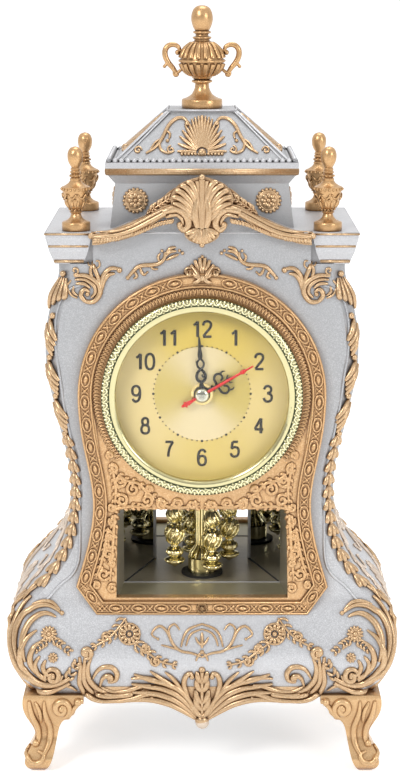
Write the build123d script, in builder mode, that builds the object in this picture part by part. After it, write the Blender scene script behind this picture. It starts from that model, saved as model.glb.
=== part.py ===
"""Table clock with a waisted case, a mirror recess and a rotating pendulum.

Millimetres. X to the right seen from the front, the front faces -Y, +Z up.
The origin is on the table, under the middle of the clock.
"""

import math
import os

from build123d import *

os.makedirs("parts", exist_ok=True)

# General clearances
gap = 0.3  # between two bodies that don't fit each other
seat_gap = 0.1  # round a piece that drops into a pocket
running_gap = 0.05  # on the radius of a shaft in its hole
overrun = 2.0  # how far a cut runs past the face it leaves

# Heights, from the table up
foot_height = 43.0
case_height = 223.0
capital_height = 13.4
platform_thickness = 2.7
attic_height = 22.0
cornice_height = 10.7
roof_height = 24.2
urn_height = 51.0
case_base = foot_height
case_top = case_base + case_height
platform_base = case_top + capital_height
platform_top = platform_base + platform_thickness
cornice_base = platform_top + attic_height
roof_base = cornice_base + cornice_height
roof_top = roof_base + roof_height

# Case
case_half_width = 99.6
case_half_depth = 55.0
case_chamfer = 6.5
case_wall = 2.6
front_plane_share = 0.8
# how high up the case, its half width there, its half depth there
case_profile_shares = [
    (0.0, 0.863, 0.900),
    (0.022, 0.917, 0.951),
    (0.054, 0.962, 0.989),
    (0.090, 0.991, 1.0),
    (0.130, 1.0, 0.967),
    (0.175, 0.986, 0.902),
    (0.211, 0.944, 0.844),
    (0.247, 0.878, 0.816),
    (0.283, 0.805, 0.805),
    (0.327, 0.742, front_plane_share),
    (0.381, 0.697, front_plane_share),
    (0.444, 0.674, front_plane_share),
    (0.507, 0.673, front_plane_share),
    (0.587, 0.703, front_plane_share),
    (0.677, 0.750, front_plane_share),
    (0.767, 0.785, front_plane_share),
    (0.839, 0.784, front_plane_share),
    (0.897, 0.761, front_plane_share),
    (0.946, 0.729, front_plane_share),
    (1.0, 0.713, front_plane_share),
]
front_y = -front_plane_share * case_half_depth
case_half_width_top = case_profile_shares[-1][1] * case_half_width
pediment_reach = 36.0  # how far the front goes on above the case, before its top is cut
relief_height = 1.5
relief_seat = 0.2  # from the case to the relief on it

# Dial, frame and window
dial_z = 200.0
frame_radius = 62.0
frame_thickness = 3.6
frame_band = 7.0
frame_band_rise = 1.2
frame_waist_half_width = 55.0
frame_waist_z = 143.0
frame_corner_half_width = 64.2
frame_corner_z = 100.3
frame_foot_half_width = 54.0
frame_foot_z = 85.4
frame_flange = 5.0
frame_recess = 0.5
window_top_z = 141.1
window_foot_z = 94.1
window_top_half_width = 42.7
window_foot_half_width = 43.8
bezel_radius = 50.2
bezel_bore_radius = 43.0
bezel_depth = 10.0
lens_thickness = 1.4
lens_lip = 2.0
bezel_round_share = 0.9  # of the lip, the rounding of the bezel's front edges
dial_radius = 55.0
dial_thickness = 0.8
spigot_depth = 1.5
frame_back_y = front_y + frame_recess
frame_front_y = frame_back_y - frame_thickness
dial_front_y = frame_back_y + spigot_depth
dial_back_y = dial_front_y + dial_thickness


def case_half_width_at(height_share):
    """half width of the case at a share of its height, between the profile's points"""
    for low, high in zip(case_profile_shares, case_profile_shares[1:]):
        if height_share <= high[0]:
            part_way = (height_share - low[0]) / (high[0] - low[0])
            return case_half_width * (low[1] + part_way * (high[1] - low[1]))
    return case_half_width_top


def chamfered_rectangle(half_width, half_depth, chamfer_leg):
    """sketch of a rectangle with four cut corners"""
    with BuildSketch() as outline:
        with BuildLine():
            Polyline(
                (half_width, half_depth - chamfer_leg),
                (half_width - chamfer_leg, half_depth),
                (chamfer_leg - half_width, half_depth),
                (-half_width, half_depth - chamfer_leg),
                (-half_width, chamfer_leg - half_depth),
                (chamfer_leg - half_width, -half_depth),
                (half_width - chamfer_leg, -half_depth),
                (half_width, chamfer_leg - half_depth),
                close=True,
            )
        make_face()
    return outline.sketch_local


def case_half(inset, end, past_middle, above):
    """front half (end -1) or rear half (end 1) of the case as a closed form.

    Its walls are moved inwards by inset, it goes past the middle of the case by
    past_middle, and the sections in above carry it on upwards.
    """
    chamfer_leg = case_chamfer - (2 - math.sqrt(2)) * inset
    with BuildPart() as form:
        for height_share, width_share, depth_share in case_profile_shares + above:
            half_width = width_share * case_half_width - inset
            half_depth = depth_share * case_half_depth - inset
            with BuildSketch(Plane.XY.offset(case_base + height_share * case_height)):
                with BuildLine():
                    Polyline(
                        (half_width, -end * past_middle),
                        (half_width, end * (half_depth - chamfer_leg)),
                        (half_width - chamfer_leg, end * half_depth),
                        (chamfer_leg - half_width, end * half_depth),
                        (-half_width, end * (half_depth - chamfer_leg)),
                        (-half_width, -end * past_middle),
                        close=True,
                    )
                make_face()
        loft()
    return form.part


def front_plane(y):
    """upright plane at depth y, its sketch X to the right and its sketch Y up"""
    return Plane(origin=(0, y, 0), x_dir=(1, 0, 0), z_dir=(0, -1, 0))


def frame_outline():
    """outer outline of the dial frame"""
    diagonal = frame_radius * math.sqrt(0.5)
    with BuildSketch() as face:
        with BuildLine():
            ThreePointArc(
                (0, dial_z + frame_radius),
                (diagonal, dial_z + diagonal),
                (frame_radius, dial_z),
            )
            Spline(
                (frame_radius, dial_z),
                (frame_waist_half_width, frame_waist_z),
                (frame_corner_half_width, frame_corner_z),
                tangents=[(0, -1), (0.3, -1)],
            )
            Polyline(
                (frame_corner_half_width, frame_corner_z),
                (frame_foot_half_width, frame_foot_z),
                (0, frame_foot_z),
            )
            mirror(about=Plane.YZ)
        make_face()
    return face.sketch_local


def window_outline(margin):
    """outline of the window, moved outwards by margin"""
    with BuildSketch() as face:
        with BuildLine():
            Polyline(
                (window_top_half_width + margin, window_top_z + margin),
                (window_foot_half_width + margin, window_foot_z - margin),
                (-window_foot_half_width - margin, window_foot_z - margin),
                (-window_top_half_width - margin, window_top_z + margin),
                close=True,
            )
        make_face()
    return face.sketch_local


def frame_back_outline(clearance):
    """what the dial frame leaves open in the front of the case"""
    with BuildSketch() as face:
        with Locations((0, dial_z)):
            Circle(frame_radius - frame_flange - clearance)
        add(window_outline(frame_flange - clearance))
    return face.sketch_local


pediment_section = (1.0 + pediment_reach / case_height, case_profile_shares[-1][1], front_plane_share)
front_form = case_half(0, -1, 0, [pediment_section])
front_hollow = case_half(case_wall, -1, overrun, [pediment_section])
rear_form = case_half(0, 1, 0, [])
rear_hollow = case_half(case_wall, 1, overrun, [])
relief_form = case_half(-relief_height, -1, 0, [])
relief_seat_form = case_half(-relief_seat, -1, overrun, [])

# Pediment: the S-shaped top edge of the front, from its outer end to the crest
pediment_half_width = 53.6
pediment_end_z = 279.0
pediment_rise = 14.4
pediment_height = 5.4
pediment_depth = 6.0
pediment_shares = [(1.0, 0.0), (0.70, 0.30), (0.42, 0.78), (0.26, 1.0)]


def pediment_points(lift):
    """points along the S of the pediment on the right, moved up by lift"""
    return [
        (width_share * pediment_half_width, pediment_end_z + rise_share * pediment_rise + lift)
        for width_share, rise_share in pediment_shares
    ]


# Case screws and their bosses, which join the two halves of the case
boss_radius = 4.5
boss_low = (70.0, 62.0)
boss_high = (58.0, 240.0)
boss_foot_share = 0.8  # how deep the low bosses stand in the wall
boss_low_reach = case_half_depth - boss_foot_share * case_wall
boss_high_reach = -front_y - case_wall / 2
boss_places = [
    (side * x, z, reach)
    for (x, z), reach in ((boss_low, boss_low_reach), (boss_high, boss_high_reach))
    for side in (-1, 1)
]
screw_radius = 1.5
screw_head_radius = 2.8
screw_head_height = 2.0
screw_length = 34.0
screw_seat_y = 16.0

# Rear door
door_half_width = 38.0
door_foot_z = 130.0
door_top_z = 236.0
door_thickness = 2.4
door_gap = 0.5
hinge_pin_radius = 1.0
hinge_knuckle_radius = 2.0
hinge_out = hinge_knuckle_radius + 2 * gap
strap_lift = 3 * gap
hinge_side = 1.8
hinge_knuckle_length = 12.0
hinge_gap = 0.4
back_y = -front_y
hinge_x = -door_half_width - hinge_side
hinge_y = back_y + hinge_out
door_middle_z = (door_foot_z + door_top_z) / 2
hinge_inset = 14.0
hinge_spots = [door_foot_z + hinge_inset, door_top_z - hinge_inset]

# Feet
foot_width = 30.9
foot_side_inset = 7.7
foot_end_inset = 2.5
foot_outer_x = case_half_width - foot_side_inset
foot_outer_y = case_half_depth - foot_end_inset
foot_outer_shares = [(0.0, 1.0), (0.04, 0.71), (0.165, 0.43), (0.0, 0.16), (0.13, 0.0)]
foot_inner_shares = [
    (0.32, 0.0),
    (0.47, 0.20),
    (0.56, 0.50),
    (0.66, 0.66),
    (0.84, 0.76),
    (0.90, 0.87),
    (1.0, 0.90),
]
foot_screw_share = 0.36  # of the foot's width, in from its outer faces
foot_screw_x = foot_outer_x - foot_screw_share * foot_width
foot_screw_y = foot_outer_y - foot_screw_share * foot_width
foot_screw_length = 14.0
base_thickness = 2.5

with BuildPart() as front_shell:
    add(front_form)
    add(front_hollow, mode=Mode.SUBTRACT)
    # above the case only the front goes on, up to the S of the pediment
    with BuildSketch(front_plane(case_half_depth)):
        with BuildLine():
            edge = Spline(*pediment_points(pediment_height / 2), tangents=[(-1, 0), (-1, 0)])
            Line(edge @ 1, (0, (edge @ 1).Y))
            Polyline(
                edge @ 0,
                (pediment_half_width, case_top),
                (2 * case_half_width, case_top),
                (2 * case_half_width, 2 * case_top),
                (0, 2 * case_top),
            )
            mirror(about=Plane.YZ)
        make_face()
    extrude(amount=2 * case_half_depth, mode=Mode.SUBTRACT)
    for x, z, reach in boss_places:
        with BuildSketch(front_plane(0)):
            with Locations((x, z)):
                Circle(boss_radius)
        extrude(amount=reach)
        with BuildSketch(front_plane(0)):
            with Locations((x, z)):
                Circle(screw_radius)
        extrude(amount=screw_length - screw_seat_y + overrun, mode=Mode.SUBTRACT)
    # seat of the dial frame, and the opening behind it
    with BuildSketch(front_plane(frame_back_y)):
        add(frame_outline())
    extrude(amount=case_half_depth, mode=Mode.SUBTRACT)
    with BuildSketch(front_plane(front_y + case_wall + overrun)):
        add(frame_back_outline(0))
    extrude(amount=case_half_depth, mode=Mode.SUBTRACT)
front_shell.part.label = "front_shell"
export_step(front_shell.part, "parts/front_shell.step")

with BuildPart() as rear_shell:
    add(rear_form)
    add(rear_hollow, mode=Mode.SUBTRACT)
    for x, z, reach in boss_places:
        with BuildSketch(front_plane(0)):
            with Locations((x, z)):
                Circle(boss_radius)
        extrude(amount=-reach)
        with BuildSketch(front_plane(0)):
            with Locations((x, z)):
                Circle(screw_radius + seat_gap)
        extrude(amount=-screw_seat_y, mode=Mode.SUBTRACT)
        with BuildSketch(front_plane(screw_seat_y)):
            with Locations((x, z)):
                Circle(screw_head_radius + seat_gap)
        extrude(amount=-2 * case_half_depth, mode=Mode.SUBTRACT)
    # door opening, and the two hinge knuckles beside it
    with BuildSketch(front_plane(back_y + overrun)):
        with Locations((0, door_middle_z)):
            Rectangle(2 * (door_half_width + door_gap), door_top_z - door_foot_z + 2 * door_gap)
    extrude(amount=case_wall + 2 * overrun, mode=Mode.SUBTRACT)
    for z in hinge_spots:
        for side in (-1, 1):
            middle = z + side * (hinge_knuckle_length + hinge_gap)
            with BuildSketch(Plane.XY.offset(middle - hinge_knuckle_length / 2)):
                with Locations((hinge_x, hinge_y)):
                    Circle(hinge_knuckle_radius)
                with Locations((hinge_x - hinge_knuckle_radius / 2, back_y - case_wall / 2)):
                    Rectangle(
                        hinge_knuckle_radius,
                        hinge_out + case_wall / 2,
                        align=(Align.CENTER, Align.MIN),
                    )
            extrude(amount=hinge_knuckle_length)
        with BuildSketch(Plane.XY.offset(z - 2 * hinge_knuckle_length)):
            with Locations((hinge_x, hinge_y)):
                Circle(hinge_pin_radius)
        extrude(amount=4 * hinge_knuckle_length, mode=Mode.SUBTRACT)
rear_shell.part.label = "rear_shell"
export_step(rear_shell.part, "parts/rear_shell.step")

with BuildPart() as rear_door:
    with BuildSketch(front_plane(back_y)):
        with Locations((0, door_middle_z)):
            Rectangle(2 * door_half_width, door_top_z - door_foot_z)
    extrude(amount=door_thickness)
    for z in hinge_spots:
        with BuildSketch(Plane.XY.offset(z - hinge_knuckle_length / 2)):
            with Locations((hinge_x, hinge_y)):
                Circle(hinge_knuckle_radius)
            with Locations((hinge_x, back_y + strap_lift)):
                Rectangle(3 * hinge_side, hinge_out - strap_lift, align=(Align.MIN, Align.MIN))
            with Locations((hinge_x + hinge_side + gap, back_y - door_thickness)):
                Rectangle(2 * hinge_side - gap, door_thickness + hinge_out, align=(Align.MIN, Align.MIN))
            with Locations((hinge_x, hinge_y)):
                Circle(hinge_pin_radius + running_gap, mode=Mode.SUBTRACT)
        extrude(amount=hinge_knuckle_length)
    # finger hollow at the free edge
    with BuildSketch(front_plane(back_y)):
        with Locations((door_half_width, door_middle_z)):
            Circle(4 * hinge_knuckle_radius)
    extrude(amount=door_thickness / 2, mode=Mode.SUBTRACT)
rear_door.part.label = "rear_door"
export_step(rear_door.part, "parts/rear_door.step")

with BuildPart() as hinge_pins:
    for z in hinge_spots:
        pin_length = 3 * hinge_knuckle_length + 2 * hinge_gap
        with BuildSketch(Plane.XY.offset(z - pin_length / 2)):
            with Locations((hinge_x, hinge_y)):
                Circle(hinge_pin_radius)
        extrude(amount=pin_length)
hinge_pins.part.label = "hinge_pins"
export_step(hinge_pins.part, "parts/hinge_pins.step")

with BuildPart() as case_screws:
    for x, z, reach in boss_places:
        with BuildSketch(front_plane(screw_seat_y)):
            with Locations((x, z)):
                Circle(screw_radius)
        extrude(amount=screw_length)
        with BuildSketch(front_plane(screw_seat_y + screw_head_height)):
            with Locations((x, z)):
                Circle(screw_head_radius)
        extrude(amount=screw_head_height)
case_screws.part.label = "case_screws"
export_step(case_screws.part, "parts/case_screws.step")

base_half_width = case_profile_shares[0][1] * case_half_width - case_wall
base_half_depth = case_profile_shares[0][2] * case_half_depth - case_wall
with BuildPart() as bottom_plate:
    with BuildSketch(Plane.XY.offset(case_base)):
        add(chamfered_rectangle(base_half_width - seat_gap, base_half_depth - seat_gap, case_chamfer))
    extrude(amount=base_thickness)
    with Locations(Plane.XY.offset(case_base + base_thickness)):
        with GridLocations(2 * foot_screw_x, 2 * foot_screw_y, 2, 2):
            Hole(screw_radius + seat_gap)
bottom_plate.part.label = "bottom_plate"
export_step(bottom_plate.part, "parts/bottom_plate.step")


def foot_profile(outer_edge):
    """side outline of a foot, its outer edge at outer_edge and the rest inwards"""
    with BuildSketch() as face:
        with BuildLine():
            outer = Spline(*[(outer_edge - u * foot_width, v * foot_height) for u, v in foot_outer_shares])
            inner = Spline(*[(outer_edge - u * foot_width, v * foot_height) for u, v in foot_inner_shares])
            Line(outer @ 1, inner @ 0)
            Polyline(inner @ 1, (outer_edge - foot_width, foot_height), outer @ 0)
        make_face()
    return face.sketch_local


with BuildPart() as foot:
    with BuildSketch(front_plane(0)):
        add(foot_profile(foot_outer_x))
    extrude(amount=2 * foot_outer_y)
    with BuildSketch(Plane(origin=(0, 0, 0), x_dir=(0, -1, 0), z_dir=(-1, 0, 0))):
        add(foot_profile(foot_outer_y))
    extrude(amount=-2 * foot_outer_x, mode=Mode.INTERSECT)
    with BuildSketch(Plane.XY.offset(foot_height)):
        with Locations((foot_screw_x, -foot_screw_y)):
            Circle(screw_radius)
    extrude(amount=-foot_screw_length, mode=Mode.SUBTRACT)

with BuildPart() as feet:
    add(foot.part)
    mirror(about=Plane.YZ)
    mirror(about=Plane.XZ)
feet.part.label = "feet"
export_step(feet.part, "parts/feet.step")

with BuildPart() as foot_screws:
    with BuildSketch(Plane.XY.offset(case_base + base_thickness)):
        with GridLocations(2 * foot_screw_x, 2 * foot_screw_y, 2, 2):
            Circle(screw_head_radius)
    extrude(amount=screw_head_height)
    with BuildSketch(Plane.XY.offset(case_base + base_thickness)):
        with GridLocations(2 * foot_screw_x, 2 * foot_screw_y, 2, 2):
            Circle(screw_radius)
    extrude(amount=-foot_screw_length)
foot_screws.part.label = "foot_screws"
export_step(foot_screws.part, "parts/foot_screws.step")

# Capitals under the corners of the platform
capital_top_width_share = 0.77
capital_top_depth_share = 0.864
capital_top_half_width = capital_top_width_share * case_half_width
capital_top_half_depth = capital_top_depth_share * case_half_depth
capital_width = 22.4
capital_waist_share = 0.84
capital_foot_share = 0.62
capital_waist_height_share = 0.46
platform_front_y = front_y + case_wall + gap
capital_x = capital_top_half_width - capital_width / 2
capital_y = capital_top_half_depth - capital_width / 2
with BuildPart() as corner_capitals:
    for side in (-1, 1):
        for end in (-1, 1):
            for low_share, high_share, low, high in (
                (capital_foot_share, capital_waist_share, 0.0, capital_waist_height_share),
                (capital_waist_share, 1.0, capital_waist_height_share, 1.0),
            ):
                with BuildSketch(Plane.XY.offset(case_top + low * capital_height)):
                    with Locations((side * capital_x, end * capital_y)):
                        Rectangle(low_share * capital_width, low_share * capital_width)
                with BuildSketch(Plane.XY.offset(case_top + high * capital_height)):
                    with Locations((side * capital_x, end * capital_y)):
                        Rectangle(high_share * capital_width, high_share * capital_width)
                loft()
    with BuildSketch(Plane.XY.offset(platform_base)):
        Rectangle(2 * (case_half_width_top - case_wall), 2 * (-platform_front_y))
    extrude(amount=-capital_height, mode=Mode.SUBTRACT)
    with BuildSketch(Plane.XY.offset(platform_base)):
        Rectangle(2 * pediment_half_width, 4 * capital_top_half_depth)
    extrude(amount=-capital_height, mode=Mode.SUBTRACT)
corner_capitals.part.label = "corner_capitals"
export_step(corner_capitals.part, "parts/corner_capitals.step")

# Platform, with a hole for the peg of each corner finial
finial_side_inset = 14.7
finial_end_inset = 8.5
finial_x = capital_top_half_width - finial_side_inset
finial_y = capital_top_half_depth - finial_end_inset
finial_peg_radius = 2.0
with BuildPart() as top_platform:
    with BuildSketch(Plane.XY.offset(platform_base)):
        Rectangle(2 * capital_top_half_width, 2 * capital_top_half_depth)
        with Locations((0, -capital_top_half_depth)):
            Rectangle(
                2 * (capital_top_half_width - capital_width),
                2 * (capital_top_half_depth + platform_front_y),
                mode=Mode.SUBTRACT,
            )
    extrude(amount=platform_thickness)
    # frieze under the platform, hollow, standing on the top of the case
    with BuildSketch(Plane.XY.offset(platform_base)):
        Rectangle(2 * (case_half_width_top - case_wall), 2 * (-platform_front_y))
        Rectangle(
            2 * (case_half_width_top - 2 * case_wall),
            2 * (-platform_front_y - case_wall),
            mode=Mode.SUBTRACT,
        )
    extrude(amount=-capital_height)
    with Locations(Plane.XY.offset(platform_top)):
        with GridLocations(2 * finial_x, 2 * finial_y, 2, 2):
            Hole(finial_peg_radius)
    add(corner_capitals.part, mode=Mode.SUBTRACT)
top_platform.part.label = "top_platform"
export_step(top_platform.part, "parts/top_platform.step")

# Attic, cornice and roof
attic_foot_half_width = 45.7
attic_top_half_width = 43.0
attic_half_depth = 30.0
attic_wall = 2.4
cornice_overhang = 4.7
cornice_band_share = 0.56  # of the cornice's height, where its cove ends
roof_half_width = 43.5
roof_half_depth = 30.5
roof_top_half_width = 16.6
roof_top_half_depth = 12.0
roof_plate_thickness = 1.5
roof_rim = 3.2


def frustum(low_z, high_z, low_half, high_half):
    """solid between two rectangles, one above the other"""
    with BuildPart() as form:
        for z, (half_width, half_depth) in ((low_z, low_half), (high_z, high_half)):
            with BuildSketch(Plane.XY.offset(z)):
                Rectangle(2 * half_width, 2 * half_depth)
        loft()
    return form.part


attic_form = frustum(
    platform_top,
    cornice_base,
    (attic_foot_half_width, attic_half_depth),
    (attic_top_half_width, attic_half_depth),
)
attic_hollow = frustum(
    platform_top,
    cornice_base,
    (attic_foot_half_width - attic_wall, attic_half_depth - attic_wall),
    (attic_top_half_width - attic_wall, attic_half_depth - attic_wall),
)
with BuildPart() as attic:
    add(attic_form)
    add(attic_hollow, mode=Mode.SUBTRACT)
attic.part.label = "attic"
export_step(attic.part, "parts/attic.step")

cornice_band_z = cornice_base + cornice_band_share * cornice_height
cornice_top_half = (attic_top_half_width + cornice_overhang, attic_half_depth + cornice_overhang)
cornice_cove = frustum(
    cornice_base, cornice_band_z, (attic_top_half_width, attic_half_depth), cornice_top_half
)
with BuildPart() as cornice:
    add(cornice_cove)
    with BuildSketch(Plane.XY.offset(cornice_band_z)):
        Rectangle(2 * cornice_top_half[0], 2 * cornice_top_half[1])
    extrude(amount=roof_base - cornice_band_z)
    with BuildSketch(Plane.XY.offset(cornice_base)):
        Rectangle(2 * (attic_top_half_width - attic_wall), 2 * (attic_half_depth - attic_wall))
    extrude(amount=cornice_height, mode=Mode.SUBTRACT)
cornice.part.label = "cornice"
export_step(cornice.part, "parts/cornice.step")

urn_bolt_radius = 2.0
roof_form = frustum(
    roof_base,
    roof_top - roof_plate_thickness,
    (roof_half_width, roof_half_depth),
    (roof_top_half_width, roof_top_half_depth),
)
with BuildPart() as roof:
    add(roof_form)
    with BuildSketch(Plane.XY.offset(roof_top - roof_plate_thickness)):
        Rectangle(2 * roof_top_half_width, 2 * roof_top_half_depth)
    extrude(amount=roof_plate_thickness)
    with BuildSketch(Plane.XY.offset(roof_base)):
        Rectangle(2 * (roof_half_width - roof_rim), 2 * (roof_half_depth - roof_rim))
    with BuildSketch(Plane.XY.offset(roof_top - roof_rim)):
        Rectangle(2 * (roof_top_half_width - roof_rim), 2 * (roof_top_half_depth - roof_rim))
    loft(mode=Mode.SUBTRACT)
    with BuildSketch(Plane.XY.offset(roof_base)):
        Circle(urn_bolt_radius + seat_gap)
    extrude(amount=roof_height + overrun, mode=Mode.SUBTRACT)
roof.part.label = "roof"
export_step(roof.part, "parts/roof.step")


def revolve_profile(radius, height, shares):
    """solid turned from a profile of (radius share, height share) points, foot first"""
    with BuildPart() as form:
        with BuildSketch(Plane.XZ):
            with BuildLine():
                Line((0, 0), (shares[0][0] * radius, 0))
                Polyline(*[(r * radius, z * height) for r, z in shares])
                Line((0, height), (0, 0))
            make_face()
        revolve(axis=Axis.Z)
    return form.part


# Urns: radius share and height share up the profile
urn_radius = 10.6
urn_shares = [
    (0.94, 0.0),
    (0.94, 0.09),
    (0.70, 0.12),
    (0.42, 0.18),
    (0.36, 0.26),
    (0.46, 0.28),
    (0.50, 0.31),
    (0.80, 0.38),
    (0.97, 0.45),
    (1.0, 0.50),
    (0.92, 0.54),
    (0.96, 0.57),
    (0.70, 0.62),
    (0.34, 0.66),
    (0.30, 0.70),
    (0.38, 0.73),
    (0.28, 0.77),
    (0.40, 0.82),
    (0.46, 0.88),
    (0.40, 0.95),
    (0.22, 0.99),
    (0.0, 1.0),
]
with BuildPart() as urn_finial:
    add(revolve_profile(urn_radius, urn_height, urn_shares).moved(Location((0, 0, roof_top))))
    with BuildSketch(Plane.XY.offset(roof_top)):
        Circle(urn_bolt_radius)
    extrude(amount=-roof_rim)
urn_finial.part.label = "urn_finial"
export_step(urn_finial.part, "parts/urn_finial.step")

# Urn handles: a scroll each side of the bowl
handle_reach = 20.2
handle_radius = 1.2
handle_ball_radius = 1.8
handle_shares = [
    (0.38, 0.355),
    (0.58, 0.355),
    (0.80, 0.415),
    (0.95, 0.455),
    (1.0, 0.525),
    (0.92, 0.592),
    (0.76, 0.620),
    (0.62, 0.590),
]
with BuildPart() as urn_handles:
    with BuildLine():
        handle_line = Spline(*[(x * handle_reach, 0, roof_top + z * urn_height) for x, z in handle_shares])
    with BuildSketch(Plane(origin=handle_line @ 0, z_dir=handle_line % 0)):
        Circle(handle_radius)
    sweep()
    with Locations(handle_line @ 1):
        Sphere(handle_ball_radius)
    add(urn_finial.part, mode=Mode.SUBTRACT)
    mirror(about=Plane.YZ)
urn_handles.part.label = "urn_handles"
export_step(urn_handles.part, "parts/urn_handles.step")

finial_radius = 7.0
finial_height = 41.0
finial_shares = [
    (0.98, 0.0),
    (0.98, 0.12),
    (0.60, 0.15),
    (0.44, 0.20),
    (0.36, 0.25),
    (0.55, 0.27),
    (0.60, 0.31),
    (0.92, 0.44),
    (1.0, 0.52),
    (0.96, 0.55),
    (0.60, 0.59),
    (0.42, 0.62),
    (0.46, 0.66),
    (0.38, 0.70),
    (0.44, 0.74),
    (0.36, 0.77),
    (0.56, 0.84),
    (0.58, 0.90),
    (0.46, 0.97),
    (0.0, 1.0),
]
with BuildPart() as finial_form:
    add(revolve_profile(finial_radius, finial_height, finial_shares))
    with BuildSketch(Plane.XY):
        Circle(finial_peg_radius)
    extrude(amount=-platform_thickness)
with BuildPart() as corner_finials:
    for side in (-1, 1):
        for end in (-1, 1):
            add(finial_form.part.moved(Location((side * finial_x, end * finial_y, platform_top))))
corner_finials.part.label = "corner_finials"
export_step(corner_finials.part, "parts/corner_finials.step")

# Pediment moulding and crest, in front of the top edge of the front
moulding_back_y = front_y - relief_seat
with BuildPart() as pediment_moulding:
    with BuildSketch(front_plane(moulding_back_y)):
        with BuildLine():
            upper = Spline(*pediment_points(pediment_height / 2), tangents=[(-1, 0), (-1, 0)])
            lower = Spline(*pediment_points(-pediment_height / 2), tangents=[(-1, 0), (-1, 0)])
            Line(upper @ 0, lower @ 0)
            Line(upper @ 1, lower @ 1)
        make_face()
    extrude(amount=pediment_depth)
    mirror(about=Plane.YZ)
pediment_moulding.part.label = "pediment_moulding"
export_step(pediment_moulding.part, "parts/pediment_moulding.step")

crest_centre_z = 288.0
crest_foot_z = 273.5
crest_top_z = 309.0
crest_depth = 7.5
crest_lobes = 7
crest_spread = 124.0
crest_lobe_width = 9.5
crest_fringe_lobes = 5
crest_fringe_spread = 80.0
crest_fringe_width = 6.0
crest_volute_radius = 3.0
crest_volute_x = 8.7
crest_volute_z = 286.0


def fan(reach, lobes, spread, lobe_width, middle_angle):
    """sketch of lobes that spread from the crest's centre, the middle one at middle_angle"""
    with BuildSketch() as face:
        with Locations((0, crest_centre_z)):
            with PolarLocations(reach / 2, lobes, middle_angle - spread / 2, spread, endpoint=True):
                Ellipse(reach / 2, lobe_width / 2)
    return face.sketch_local


with BuildPart() as crest_shell:
    with BuildSketch(front_plane(moulding_back_y)):
        add(fan(crest_top_z - crest_centre_z, crest_lobes, crest_spread, crest_lobe_width, 90))
        fringe_reach = crest_centre_z - crest_foot_z
        add(fan(fringe_reach, crest_fringe_lobes, crest_fringe_spread, crest_fringe_width, 270))
        with Locations((-crest_volute_x, crest_volute_z), (crest_volute_x, crest_volute_z)):
            Circle(crest_volute_radius)
        with Locations((0, crest_volute_z)):
            Rectangle(2 * crest_volute_x, crest_volute_radius)
    extrude(amount=crest_depth)
    add(pediment_moulding.part, mode=Mode.SUBTRACT)
crest_shell.part.label = "crest_shell"
export_step(crest_shell.part, "parts/crest_shell.step")

# Dial frame: flat plate, raised outer band, spigot into the opening of the case
with BuildPart() as dial_frame:
    with BuildSketch(front_plane(frame_back_y)):
        add(frame_outline())
    extrude(amount=frame_thickness)
    with BuildSketch(front_plane(frame_front_y)):
        add(frame_outline())
        with Locations((0, dial_z)):
            Circle(frame_radius - frame_band, mode=Mode.SUBTRACT)
        with BuildLine():
            Polyline(
                (0, dial_z),
                (frame_radius - frame_band, dial_z),
                (frame_waist_half_width - frame_band, frame_waist_z),
                (frame_corner_half_width - frame_band, frame_corner_z),
                (frame_foot_half_width - frame_band / 2, frame_foot_z + frame_band),
                (0, frame_foot_z + frame_band),
            )
            mirror(about=Plane.YZ)
        make_face(mode=Mode.SUBTRACT)
    extrude(amount=frame_band_rise)
    with BuildSketch(front_plane(dial_front_y)):
        add(frame_back_outline(seat_gap))
    extrude(amount=spigot_depth)
    with BuildSketch(front_plane(dial_front_y)):
        with Locations((0, dial_z)):
            Circle(bezel_radius)
        add(window_outline(0))
    extrude(amount=case_half_depth, mode=Mode.SUBTRACT)
dial_frame.part.label = "dial_frame"
export_step(dial_frame.part, "parts/dial_frame.step")


def shaft(place, back, front, radius):
    """round solid along Y at a place of the front view, between two depths"""
    with BuildPart() as form:
        with BuildSketch(front_plane(back)):
            with Locations(place):
                Circle(radius)
        extrude(amount=back - front)
    return form.part


bezel_front_y = dial_front_y - bezel_depth
bezel_step_y = bezel_front_y + lens_lip
with BuildPart() as bezel:
    add(shaft((0, dial_z), dial_front_y, bezel_front_y, bezel_radius))
    add(shaft((0, dial_z), dial_front_y, bezel_front_y, bezel_bore_radius), mode=Mode.SUBTRACT)
    fillet(bezel.edges().filter_by(GeomType.CIRCLE).sort_by(Axis.Y)[0:2], lens_lip * bezel_round_share)
    add(
        shaft((0, dial_z), dial_front_y, bezel_step_y, bezel_bore_radius + lens_lip),
        mode=Mode.SUBTRACT,
    )
bezel.part.label = "bezel"
export_step(bezel.part, "parts/bezel.step")

with BuildPart() as lens:
    add(
        shaft(
            (0, dial_z),
            bezel_step_y + lens_thickness,
            bezel_step_y,
            bezel_bore_radius + lens_lip - seat_gap,
        )
    )
lens.part.label = "lens"
export_step(lens.part, "parts/lens.step")

# Shafts through the dial, from the inside out
second_arbor_radius = 0.5
minute_pipe_radius = 1.2
hour_pipe_radius = 2.0
bush_radius = 3.9
nut_radius = 5.5
nut_thickness = 1.0
hand_thickness = 0.4
hand_step = 0.9
nut_clearance = 0.5
nut_front_y = dial_front_y - nut_thickness
hour_hand_y = nut_front_y - nut_clearance
minute_hand_y = hour_hand_y - hand_step
second_hand_y = minute_hand_y - hand_step

with BuildPart() as dial_plate:
    add(shaft((0, dial_z), dial_back_y, dial_front_y, dial_radius))
    add(shaft((0, dial_z), dial_back_y, dial_front_y, bush_radius), mode=Mode.SUBTRACT)
dial_plate.part.label = "dial_plate"
export_step(dial_plate.part, "parts/dial_plate.step")

with BuildPart() as fixing_nut:
    add(shaft((0, dial_z), dial_front_y, nut_front_y, nut_radius))
    add(shaft((0, dial_z), dial_front_y, nut_front_y, bush_radius), mode=Mode.SUBTRACT)
fixing_nut.part.label = "fixing_nut"
export_step(fixing_nut.part, "parts/fixing_nut.step")

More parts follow.
